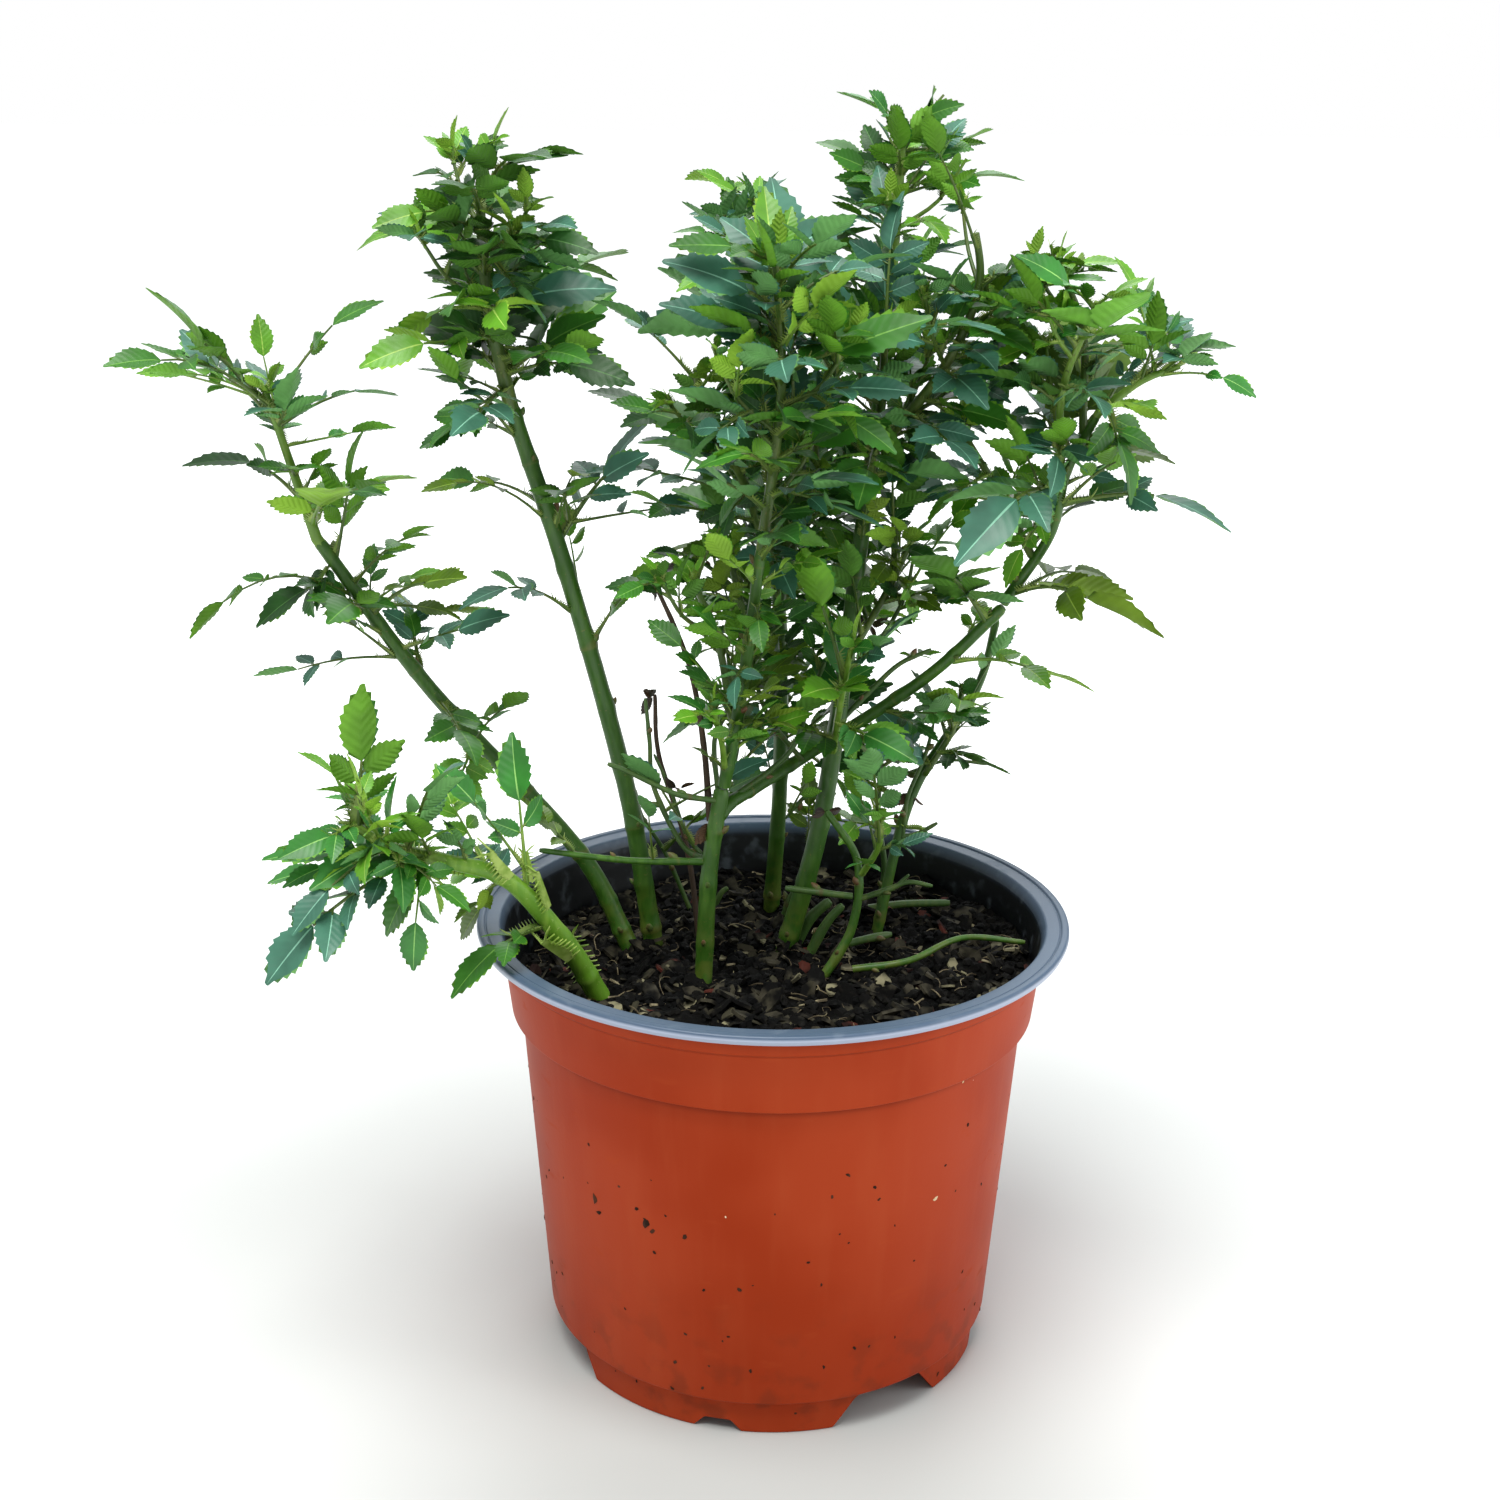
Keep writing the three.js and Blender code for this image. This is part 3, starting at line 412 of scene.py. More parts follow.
def describeClay(g):
    where = g.place()
    broad = g.mask(g.cloud(where, 0.045, 2.0), 0.42, 0.68)
    streaks = g.mask(g.cloud(g.place((1, 1, 0.12)), 0.006, 3.0), 0.45, 0.75)
    rubs = g.mask(g.cloud(g.place((1, 1, 3)), 0.012, 5.0), 0.62, 0.72)
    height = g.part(where, "Z")
    low = 1 - g.mask(height, 0.0, 0.05)
    colour = g.mix(broad * 0.75, paint(clay["colour"]), paint(clay["deep"]))
    colour = g.mix(streaks * 0.22, colour, paint(clay["pale"]))
    colour = g.mix(rubs * 0.18, colour, paint(clay["pale"]))
    colour = g.mix(low * g.mask(g.cloud(where, 0.008, 6.0), 0.5, 0.66) * 0.45, colour, paint("6b2d17"))
    # Painted shade: the clay darkens in a band under the collar's lip, over the wall under the rim, and in a
    # thin line at the step.
    collar, step = pot["collarFoot"][1] * mm, pot["collarTop"][1] * mm
    underCollar = g.band(height, collar - 0.004, collar - 0.0004, collar - 0.0003, collar)
    underRim = g.mask(height, step + 0.0002, step + 0.005)
    atStep = g.band(height, step - 0.0004, step, step + 0.0004, step + 0.0008)
    colour = g.mix(0.7 * underCollar * underCollar, colour, paint(clay["shade"]))
    colour = g.mix(0.4 * underRim + 0.35 * atStep, colour, paint(clay["shade"]))
    grain = g.cloud(where, 0.0012, 3.0)
    return {
        "Base Color": colour,
        "Roughness": 0.08 * g.cloud(where, 0.02, 4.0) + 0.1 * rubs + clay["roughness"],
        "Specular IOR Level": 0.1,
        "Normal": g.bump(grain + 0.5 * streaks, 0.00004, 0.6),
    }


def describeLining(g):
    where = g.place()
    dust = g.mask(g.cloud(where, 0.005, 6.0), 0.52, 0.74)
    height = g.part(where, "Z")
    # Painted shade: from just under the rim's top down inside the pot, the lining darkens to near black.
    inside = 1 - g.mask(height, 0.1115, 0.1152)
    colour = g.mix(inside, paint(lining["colour"]), paint(lining["deep"]))
    colour = g.mix(dust * 0.2, colour, paint(lining["dust"]))
    fromFoot = g.vector("SUBTRACT", where, tuple(potFoot))
    radius = g.length(g.vector("MULTIPLY", fromFoot, (1, 1, 0)))
    rimFoot = (pot["height"] - pot["rimDepth"]) * mm
    # Painted highlight: a thin pale line along the rim's outer lower edge.
    edge = g.mask(radius, 0.0738, 0.0745) * (1 - g.mask(height, rimFoot + 0.0012, rimFoot + 0.0020))
    colour = g.mix(edge * 0.6, colour, paint(lining["edge"]))
    return {
        "Base Color": colour,
        "Roughness": 0.16 * dust + lining["roughness"],
        "Normal": g.bump(g.cloud(where, 0.0015, 3.0), 0.00004, 0.5),
    }


def makePot():
    outline, turn = potOutline()
    points, faces = lathe(outline, pot["sides"])
    shell = meshObject("nurseryPot", points, faces)
    shell.data.materials.append(makeMaterial("clay plastic", describeClay))
    shell.data.materials.append(makeMaterial("dark lining", describeLining))
    slots = [0 if face.index // pot["sides"] < turn else 1 for face in shell.data.polygons]
    shell.data.polygons.foreach_set("material_index", slots)
    cutPoints, cutFaces = [], []
    for kind in ("wideGaps", "smallNotches"):
        for angle in pot[kind]["angles"]:
            morePoints, moreFaces = gapCutter(angle, pot[kind])
            cutFaces += [tuple(i + len(cutPoints) for i in face) for face in moreFaces]
            cutPoints += morePoints
    cutters = meshObject("gapCutters", cutPoints, cutFaces)
    cut = shell.modifiers.new("gaps", "BOOLEAN")
    cut.object = cutters
    cut.operation = "DIFFERENCE"
    cut.solver = "EXACT"
    workIn(shell)
    remove(cutters)
    smoothOver(shell.data, pot["sharpOver"])
    return shell


# Soil

soil = {
    "height": 101.5, "rise": 0.045, "unevenness": 0.7, "rings": 64, "sides": 176, "lumps": 2.8, "crumb": 1.2,
    "ledge": 88, "floor": 9.8, "topGap": 0.15, "wallGap": 0.2, "litterGap": 0.3,
}


def soilSurface(x, y):
    bumps = math.sin(x / 6 + 1) * math.cos(y / 8) + 0.6 * math.sin(x / 4 - y / 5)
    return soil["height"] + soil["rise"] * (x + 0.3 * y) + soil["unevenness"] * bumps


def soilTop(x, y):
    lumps = noise.fractal(Vector((x / 9, y / 9, 3.1)), 0.9, 2.1, 3)
    crumbs = noise.fractal(Vector((x / 2.2, y / 2.2, 7.7)), 0.8, 2.2, 3)
    return soilSurface(x, y) + soil["lumps"] * (lumps - 0.1) + soil["crumb"] * crumbs


def describeSoil(g):
    where = g.place()
    grain = g.cloud(where, 0.0022, 6.0)
    colour = g.mix(g.mask(g.cloud(where, 0.012, 3.0), 0.4, 0.65), paint("010101"), paint("060504"))
    colour = g.mix(g.mask(grain, 0.56, 0.72) * 0.5, colour, paint("1f1a15"))
    return {
        "Base Color": colour,
        "Roughness": 0.9 - 0.45 * g.mask(g.cloud(where, 0.006, 4.0), 0.56, 0.7),
        "Specular IOR Level": 0.12,
        "Normal": g.bump(grain, 0.0009, 0.9),
    }


def makeSoil():
    edge = wallInside(soil["height"]) - soil["topGap"]
    points = [(0, 0, soilTop(0, 0))]
    sides, rings = soil["sides"], soil["rings"]
    for ring in range(1, rings + 1):
        radius = edge * ring / rings
        for i in range(sides):
            angle = 2 * math.pi * (i + 0.5 * (ring % 2)) / sides
            x, y = radius * math.cos(angle), radius * math.sin(angle)
            points.append((x, y, soilTop(x, y)))
    faces = [(0, 1 + i, 1 + (i + 1) % sides) for i in range(sides)]
    for ring in range(1, rings):
        low, high = 1 + (ring - 1) * sides, 1 + ring * sides
        faces += [(low + i, high + i, high + (i + 1) % sides, low + (i + 1) % sides) for i in range(sides)]
    crust = meshObject("soilCrust", points, faces)
    body = crust.data.copy()
    shape = bmesh.new()
    shape.from_mesh(body)
    shape.verts.ensure_lookup_table()
    rim = [shape.verts[1 + (rings - 1) * sides + i] for i in range(sides)]
    for height in (soil["ledge"], soil["floor"]):
        lower = []
        for vertex in rim:
            out = vertex.co - potFoot
            spot = Vector((out.x, out.y, 0)).normalized() * (wallInside(height) - soil["wallGap"])
            lower.append(shape.verts.new(placed((spot.x, spot.y, height))))
        for i in range(sides):
            j = (i + 1) % sides
            shape.faces.new((rim[j], rim[i], lower[i], lower[j]))
        rim = lower
    shape.faces.new(rim)
    shape.to_mesh(body)
    shape.free()
    return crust, meshPiece("pottingSoil", body, makeMaterial("moist soil", describeSoil), smooth=60)


# Shapes that are strewn or set out in numbers, round the origin. What lies on the soil is drawn at its middle
# size, in millimetres. Leaflets, sheaths, bristles, buds and specks are drawn about 1000 long, and a point's
# span scales them.

def shapeObject(name, points, faces, collection, smooth=None, thick=None):
    mesh = bpy.data.meshes.new(name)
    mesh.from_pydata([Vector(point) * mm for point in points], [], faces)
    cleanUp(mesh, smooth, thick)
    made = bpy.data.objects.new(name, mesh)
    collection.objects.link(made)
    return made


class Dice:  # repeatable random numbers
    faces = 2 ** 32

    def __init__(self, seed):
        self.state = (seed * 7919 + 12345) % self.faces

    def roll(self, low, high):
        self.state = (self.state * 1664525 + 1013904223) % self.faces
        return low + (high - low) * self.state / self.faces


# A set of shapes, each drawn with dice of its own, in a collection that is not in the scene.
def shapeSet(name, count, seed, draw, **finish):
    shelf = bpy.data.collections.new(name)
    for kind in range(count):
        points, faces = draw(Dice(seed + kind))
        shapeObject(f"{name}{kind}", points, faces, shelf, **finish)
    return shelf


def drawLump(dice, radius, sizes, spreads):  # sizes and spreads are those along x, y and z
    shape = bmesh.new()
    bmesh.ops.create_icosphere(shape, subdivisions=1, radius=radius)
    points = []
    for vertex in shape.verts:
        ways = zip(sizes, vertex.co, spreads)
        points.append([size * place * dice.roll(*spread) for size, place, spread in ways])
    faces = [tuple(vertex.index for vertex in face.verts) for face in shape.faces]
    shape.free()
    return points, faces


def drawCrumb(dice):
    return drawLump(dice, 0.9, (1, 1, 1), ((0.7, 1.5), (0.7, 1.2), (0.5, 1.0)))


def drawChip(dice):
    corners = 7
    length, width = dice.roll(2.2, 3.6), dice.roll(1.0, 1.9)
    curl = dice.roll(-0.12, 0.2)
    points = []
    for i in range(corners):
        angle = 2 * math.pi * i / corners
        x = length * math.cos(angle) * dice.roll(0.7, 1.15)
        y = width * math.sin(angle) * dice.roll(0.7, 1.2)
        points.append((x, y, curl * y * y + dice.roll(-0.15, 0.15)))
    points.append((0, 0, dice.roll(-0.1, 0.35)))
    return points, [(i, (i + 1) % corners, corners) for i in range(corners)]


def tube(points, radii, sides):  # a closed tube along points, with rings that don't twist
    last = len(points) - 1
    tangents = [(points[min(i + 1, last)] - points[max(i - 1, 0)]).normalized() for i in range(last + 1)]
    across = tangents[0].orthogonal().normalized()
    rings = []
    for point, tangent, radius in zip(points, tangents, radii):
        across = (across - tangent * across.dot(tangent)).normalized()
        third = tangent.cross(across)
        turns = [2 * math.pi * i / sides for i in range(sides)]
        rings.append([point + (across * math.cos(turn) + third * math.sin(turn)) * radius for turn in turns])
    spots = [spot for ring in rings for spot in ring]
    faces = [tuple(range(sides - 1, -1, -1)), tuple(range(len(spots) - sides, len(spots)))]
    for ring in range(len(rings) - 1):
        low, high = ring * sides, (ring + 1) * sides
        faces += [(low + i, low + (i + 1) % sides, high + (i + 1) % sides, high + i) for i in range(sides)]
    return spots, faces


def drawFibre(dice):
    bend, wave, length = dice.roll(0.4, 1.9), dice.roll(0.2, 0.8), dice.roll(5, 9)
    points = []
    for i in range(8):
        share = i / 7
        angle, reach = bend * share * 1.4, length * share
        x, y = reach * math.cos(angle), reach * math.sin(angle) + wave * math.sin(5 * share)
        points.append(Vector((x, y, 1.1 * math.sin(math.pi * share) + 0.3 * math.sin(9 * share))))
    middle = Vector((points[3].x, points[3].y, 0))
    return tube([point - middle for point in points], [0.16 - 0.06 * i / 7 for i in range(8)], 4)


def drawSplinter(dice):
    length = dice.roll(6, 11)
    points = [Vector((length * (i / 3 - 0.5), dice.roll(-0.3, 0.3), dice.roll(0, 0.4))) for i in range(4)]
    return tube(points, [0.42, 0.38, 0.3, 0.14], 5)


def makeTree(name, *inputs):  # a tree of Geometry Nodes with named inputs
    tree = bpy.data.node_groups.new(name, "GeometryNodeTree")
    for label, kind in inputs:
        tree.interface.new_socket(label, in_out="INPUT", socket_type=f"NodeSocket{kind}")
    tree.interface.new_socket("Made", in_out="OUTPUT", socket_type="NodeSocketGeometry")
    g = Graph(tree)
    return tree, g, g.node("NodeGroupInput")


# Strews the shapes of a collection over a surface.
def makeStrewTree():
    tree, g, given = makeTree(
        "strew", ("Surface", "Geometry"), ("Shapes", "Collection"), ("Density", "Float"), ("Seed", "Int"),
        ("Smallest", "Float"), ("Largest", "Float"), ("Tilt", "Float"), ("Finish", "Material"))
    seed = given.out("Seed")
    points = g.node("GeometryNodeDistributePointsOnFaces", {}, {
        "Mesh": given, "Density": given.out("Density"), "Seed": seed})
    tilt = given.out("Tilt")
    low = g.node("ShaderNodeCombineXYZ", {}, {0: 0 - tilt, 1: 0 - tilt, 2: 0.0})
    high = g.node("ShaderNodeCombineXYZ", {}, {0: tilt, 1: tilt, 2: 2 * math.pi})
    spin = g.node("FunctionNodeRandomValue", {"data_type": "FLOAT_VECTOR"}, {0: low, 1: high, "Seed": seed})
    size = g.node("FunctionNodeRandomValue", {"data_type": "FLOAT"}, {
        2: given.out("Smallest"), 3: given.out("Largest"), "Seed": seed}, output=1)
    shapes = g.node("GeometryNodeCollectionInfo", {}, {
        "Collection": given.out("Shapes"), "Separate Children": True, "Reset Children": True})
    strewn = g.node("GeometryNodeInstanceOnPoints", {}, {
        "Points": points, "Instance": shapes, "Pick Instance": True,
        "Rotation": g.node("FunctionNodeEulerToRotation", {}, {0: spin}), "Scale": size})
    real = g.node("GeometryNodeRealizeInstances", {}, {0: strewn})
    done = g.node("GeometryNodeSetMaterial", {}, {"Geometry": real, "Material": given.out("Finish")})
    g.node("NodeGroupOutput", {}, {0: done})
    return tree


def grown(name, base, tree, values):  # runs a node tree on a base mesh and keeps the plain mesh it makes
    host = bpy.data.objects.new(name, base)
    bpy.context.collection.objects.link(host)
    modifier = host.modifiers.new("grow", "NODES")
    modifier.node_group = tree
    for item in tree.interface.items_tree:
        if item.in_out == "INPUT" and item.name in values:
            modifier[item.identifier] = values[item.name]
    return workIn(host)


def describeLitter(first, second, rough):
    def describe(g):
        where = g.place()
        colour = g.mix(g.mask(g.cloud(where, 0.006, 3.0), 0.42, 0.64), paint(first), paint(second))
        return {
            "Base Color": colour,
            "Specular IOR Level": 0.15,
            "Roughness": rough - 0.2 * g.mask(g.cloud(where, 0.003, 2.0), 0.5, 0.7),
            "Normal": g.bump(g.cloud(where, 0.0006, 3.0), 0.0001, 0.7),
        }
    return describe


litterShapes = {  # name and number of the shapes, seed, the way to draw one, and its thickness
    "crumb": (4, 60, drawCrumb, None), "chip": (5, 80, drawChip, 0.55), "fibre": (5, 100, drawFibre, None),
    "splinter": (3, 120, drawSplinter, None),
}
# What lies on the soil: its shapes, how many, smallest and largest size against those shapes, seed, tilt in
# radians, and two colours with the roughness.
litter = {
    "crumbs": ("crumb", 2600, (0.5, 2.0), 4, 0.6, ("010101", "0d0b08", 0.85)),
    "barkChips": ("chip", 560, (0.5, 1.7), 11, 0.9, ("040302", "403c30", 0.8)),
    "paleFlakes": ("chip", 95, (0.5, 1.3), 67, 0.7, ("3d3a2d", "8a8468", 0.8)),
    "redChips": ("chip", 55, (0.5, 1.4), 23, 0.8, ("200e0b", "55281f", 0.75)),
    "rootFibres": ("fibre", 170, (0.5, 1.3), 31, 0.35, ("4c4333", "85795f", 0.8)),
    "splinters": ("splinter", 60, (0.4, 1.2), 47, 0.25, ("5a5140", "a89c7c", 0.8)),
}


def makeLitter(crust):
    tree = makeStrewTree()
    area = math.pi * (wallInside(soil["height"]) * mm) ** 2
    pieces = []
    for name, (shape, count, sizes, seed, tilt, look) in litter.items():
        number, shapeSeed, draw, thick = litterShapes[shape]
        shapes = shapeSet(shape, number, shapeSeed, draw, thick=thick)
        pieces.append(grown(name, crust.data.copy(), tree, {
            "Shapes": shapes, "Density": count / area, "Seed": seed, "Smallest": sizes[0],
            "Largest": sizes[1], "Tilt": tilt, "Finish": makeMaterial(name, describeLitter(*look))}))
        keepInsidePot(pieces[-1])
        remove(*shapes.objects)
    remove(crust)
    return pieces


def keepInsidePot(piece):  # drops each loose bit that would reach into the wall
    shape = bmesh.new()
    shape.from_mesh(piece.data)
    seen, drop = set(), []
    for vertex in shape.verts:
        if vertex in seen:
            continue
        island, queue = [], [vertex]
        seen.add(vertex)
        while queue:
            here = queue.pop()
            island.append(here)
            for edge in here.link_edges:
                other = edge.other_vert(here)
                if other not in seen:
                    seen.add(other)
                    queue.append(other)
        reach = max((Vector((v.co.x, v.co.y, 0)) - potFoot).length for v in island)
        if reach > (wallInside(soil["height"]) - soil["litterGap"]) * mm:
            drop += island
    bmesh.ops.delete(shape, geom=drop, context="VERTS")
    shape.to_mesh(piece.data)
    shape.free()


# Canes and boughs: their path from foot to tip, and the radii at both ends.
canes = {
    "left_cane": ([(-37, 12, 100), (-51, 14, 127), (-87, 10, 171), (-112, 4, 210)], (2.9, 1.8)),
    "tall_left_cane": ([(-31, 14, 100), (-38, 11, 146), (-52, 6, 203), (-64, 3, 243)], (3.0, 2.2)),
    "front_cane": ([(-17.5, -9, 100), (-16, -8, 130), (-13, -7, 151)], (2.6, 2.3)),
    "back_cane": ([(0, 39, 100), (2, 35, 146), (0, 28, 206), (-4, 28, 254)], (2.6, 1.7)),
    "tall_right_cane": ([(3, 7, 100), (13, 8, 143), (21, 14, 212), (26, 20, 256)], (3.1, 1.9)),
    "back_right_cane": ([(27, 16, 100), (36, 22, 139), (52, 24, 168), (56, 20, 188)], (1.7, 1.1)),
    "sprout_cane": ([(12, -9, 100), (20, -6, 114), (21, -4, 131), (13, -3, 144)], (1.5, 1.0)),
    "front_bough": ([(-12.5, -8, 152), (-8, -13, 180), (-4, -18, 214)], (1.9, 1.5)),
    "right_bough": ([(-11, -3, 146), (8, 17, 152), (38, 14, 174), (56, 8, 194)], (2.0, 1.7)),
    "upper_right_bough": ([(56, 8, 195), (66, 4, 213), (69, 2, 229), (75, -1, 243)], (1.6, 1.2)),
    "low_twig": ([(-17, -8, 132), (-36, -13, 134), (-57, -20, 139)], (1.1, 0.8)),
    "fallen_twig": ([(20, -14, 106), (34, -13, 108), (48, -5, 111), (64, -5, 110)], (1.1, 0.8)),
}
boughRoots = {
    "bough_root": ([(-13.6, -7.4, 144), (-12.2, -5, 145.2), (-10, -1.6, 146.4)], (2.1, 2.0)),
}
youngCanes = {
    "young_shoot": ([(-43, -19, 100), (-50, -25, 116), (-63, -33, 136), (-78, -38, 143)], (3.3, 2.0)),
}
dryTwigs = {
    "dry_twig": ([(-18, 2, 100), (-22, 4, 131), (-29, 3, 156), (-30, 3, 172)], (0.9, 0.6)),
    "dead_twig": ([(-16, -6, 142), (-18, 0, 162), (-22, 1, 182), (-31, 5, 202)], (1.0, 0.6)),
}
fineTwigs = {
    "split_twig_1": ([(-22, 36, 101), (-29, 36, 118), (-35, 36, 128), (-37, 36, 136)], (0.75, 0.5)),
    "split_twig_2": (
        [(-17, -7, 132), (-23, -4, 135), (-30, -4, 150), (-31, -4, 162), (-32, -4, 173)], (0.9, 0.55)),
    "split_twig_3": ([(-17, -6, 132), (-22, -2, 137), (-26, -2, 149), (-30, -2, 158)], (0.7, 0.45)),
    "split_twig_4": (
        [(-14, -8, 148), (-23, -10, 150), (-28, -10, 152), (-36, -10, 156), (-41, -10, 158)], (0.85, 0.7)),
    "bough_twig": ([(-10, -1, 147), (-1, 2, 153), (5, 2, 160), (9, 2, 173), (12, 2, 181)], (0.9, 0.6)),
    "back_twig_1": ([(10, 8, 146), (7, 8, 143), (3, 8, 138)], (0.6, 0.45)),
    "back_twig_2": ([(34, 20, 129), (38, 20, 130), (43, 20, 133)], (0.9, 0.6)),
    "back_twig_3": ([(34, 20, 129), (35, 20, 140), (39, 20, 151), (41, 20, 160)], (0.75, 0.5)),
    "back_twig_4": ([(28, 27, 141), (37, 27, 145), (46, 27, 148), (56, 27, 147)], (0.6, 0.4)),
    "back_twig_5": (
        [(29, 27, 107), (30, 27, 118), (28, 27, 131), (28, 27, 141), (29, 27, 152), (34, 27, 160)],
        (1.0, 0.7)),
    "low_stub_1": ([(20, -5, 122), (11, -5, 123), (3, -5, 124)], (1.0, 0.95)),
    "low_stub_2": ([(21, -5, 121), (29, -5, 124), (34, -5, 126), (40, -5, 125)], (0.9, 0.6)),
    "low_stub_2_fork": ([(30, -5, 124), (33, -5, 127), (34, -5, 128)], (0.55, 0.4)),
    "low_stub_3": ([(26, 27, 106), (36, 28, 107), (48, 29, 107)], (1.25, 1.15)),
    "low_stub_4": ([(20, 5, 105), (25, 6, 106), (31, 9, 106)], (1.2, 1.1)),
    "low_stub_5": ([(9, 4, 101), (14, 4, 111), (18, 4, 116)], (1.6, 1.2)),
    "low_stub_6": ([(6, 12, 101), (10, 12, 109), (15, 12, 114)], (1.8, 1.5)),
    "low_stub_7": ([(3, 29, 101), (5, 29, 107), (7, 29, 111)], (1.3, 1.2)),
    "low_stub_8": ([(-16, 36, 101), (-14, 36, 106), (-12, 36, 108)], (1.0, 0.8)),
    "inner_twig_1": ([(-13, -5, 149), (-10, 4, 155), (-8, 4, 171), (-6, 4, 186)], (0.9, 0.6)),
    "inner_twig_2": ([(-14, -6, 149), (-15, -2, 162), (-11, -2, 172), (-12, -2, 185)], (0.8, 0.55)),
    "inner_twig_3": ([(7, 14, 152), (-1, 8, 164), (-5, 8, 175), (-7, 8, 193)], (0.8, 0.5)),
    "inner_twig_4": ([(16, 10, 163), (24, 12, 171), (31, 12, 178), (39, 12, 182)], (0.9, 0.6)),
    "inner_twig_5": ([(18, 12, 175), (26, 16, 183), (32, 16, 194), (34, 16, 204)], (0.8, 0.5)),
    "inner_twig_6": ([(1, 28, 180), (-7, 28, 190), (-16, 28, 198), (-22, 28, 202)], (0.8, 0.5)),
    "inner_twig_7": ([(1, 26, 188), (3, 26, 199), (6, 26, 212), (3, 26, 222)], (0.8, 0.5)),
}
bark = {  # slim is the drawn thickness against the given radii
    "slim": 0.86, "ringEvery": 1.1, "sides": 14, "knotEvery": (13, 21), "knotSwell": 0.17, "knotLength": 1.6,
    "scar": 0.07, "scarBelow": 0.9, "scarLength": 0.4, "ribs": 0.012, "grain": 0.02, "endTaper": 0.7,
}


class Curve:  # a smooth curve through given points
    def __init__(self, points):
        self.points = [Vector(point) for point in points]

    def at(self, share):
        points = self.points
        last = len(points) - 1
        place = min(max(share, 0), 1) * last
        i = min(int(place), last - 1)
        w = place - i
        before = points[i - 1] if i > 0 else points[0] * 2 - points[1]
        start, end = points[i], points[i + 1]
        after = points[i + 2] if i + 2 <= last else end * 2 - start
        leave, arrive = (end - before) * 0.5, (after - start) * 0.5
        bend = (start - end) * 2 + leave + arrive
        return bend * w ** 3 + ((end - start) * 3 - leave * 2 - arrive) * w ** 2 + leave * w + start

    def tangent(self, share):
        return (self.at(min(share + 0.001, 1)) - self.at(max(share - 0.001, 0))).normalized()

    def length(self):
        spots = [self.at(i / 40) for i in range(41)]
        return sum((b - a).length for a, b in zip(spots, spots[1:]))

    def shareAtHeight(self, height):
        share = 0
        while share < 1 and self.at(share).z < height:
            share += 0.005
        return min(share, 1)


limbs = {}
for group in (canes, youngCanes, dryTwigs, fineTwigs):
    limbs.update({name: (Curve(path), radii) for name, (path, radii) in group.items()})


def turned(axis, angle):  # a direction square to the axis, turned round it
    first = axis.orthogonal().normalized()
    return first * math.cos(angle) + axis.cross(first) * math.sin(angle)


def square(vector, axis):  # what is left of the vector square to the axis
    return (vector - axis * vector.dot(axis)).normalized()


# One limb with the relief of its bark: knots where leaves have been, scars, ribs and grain.
def limbShape(path, radii, seed, swell):
    curve = Curve(path)
    dice = Dice(seed)
    length = curve.length()
    knots = []
    spot = dice.roll(5, 10)
    while spot < length - 3:
        knots.append((spot, dice.roll(0, 2 * math.pi), dice.roll(0.6, 1.2)))
        spot += dice.roll(*bark["knotEvery"])
    count = max(8, round(length / bark["ringEvery"]))
    centres = [curve.at(i / count) for i in range(count + 1)]
    points, faces = tube(centres, [1] * (count + 1), bark["sides"])
    knotValues = []
    for i, point in enumerate(points):
        ring, side = divmod(i, bark["sides"])
        share = ring / count
        along = share * length
        angle = 2 * math.pi * side / bark["sides"]
        radius = between(radii, share) * (bark["endTaper"] if ring == count else 1)
        swelling = 1.0
        knotValue = 0.0
        for place, turn, strength in knots:
            near = math.exp(-((along - place) / bark["knotLength"]) ** 2) * strength
            facing = 0.55 + 0.45 * math.cos(angle - turn)
            scar = math.exp(-((along - place + bark["scarBelow"]) / bark["scarLength"]) ** 2) * strength
            swelling += swell * near * facing + bark["scar"] * scar
            knotValue = max(knotValue, scar, near * facing * 0.8)
        swelling += bark["ribs"] * math.sin(5 * angle + 0.05 * along)
        spot = Vector((math.cos(angle) * 2, math.sin(angle) * 2, along / 2.5 + seed))
        swelling += bark["grain"] * noise.noise(spot)
        points[i] = centres[ring] + (point - centres[ring]) * radius * bark["slim"] * swelling
        knotValues.append(knotValue)
    buds = []
    for place, turn, strength in knots:
        share = place / length
        tangent = curve.tangent(share)
        outward = turned(tangent, turn)
        root = curve.at(share) + outward * between(radii, share) * bark["slim"] * 0.95
        buds.append((root, (tangent * 0.8 + outward * 0.6).normalized(), strength))
    return points, faces, knotValues, buds


def limbPiece(name, group, material, swell=bark["knotSwell"]):
    points, faces, knots, buds = [], [], [], []
    for i, (path, radii) in enumerate(group.values()):
        shape = limbShape(path, radii, 200 + 7 * i, swell)
        morePoints, moreFaces, moreKnots, moreBuds = shape
        faces += [tuple(index + len(points) for index in face) for face in moreFaces]
        points += morePoints
        knots += moreKnots
        buds += moreBuds
    piece = meshObject(name, points, faces, material, smooth=50)
    setAttribute(piece.data, "knot", "FLOAT", knots)
    return piece, buds


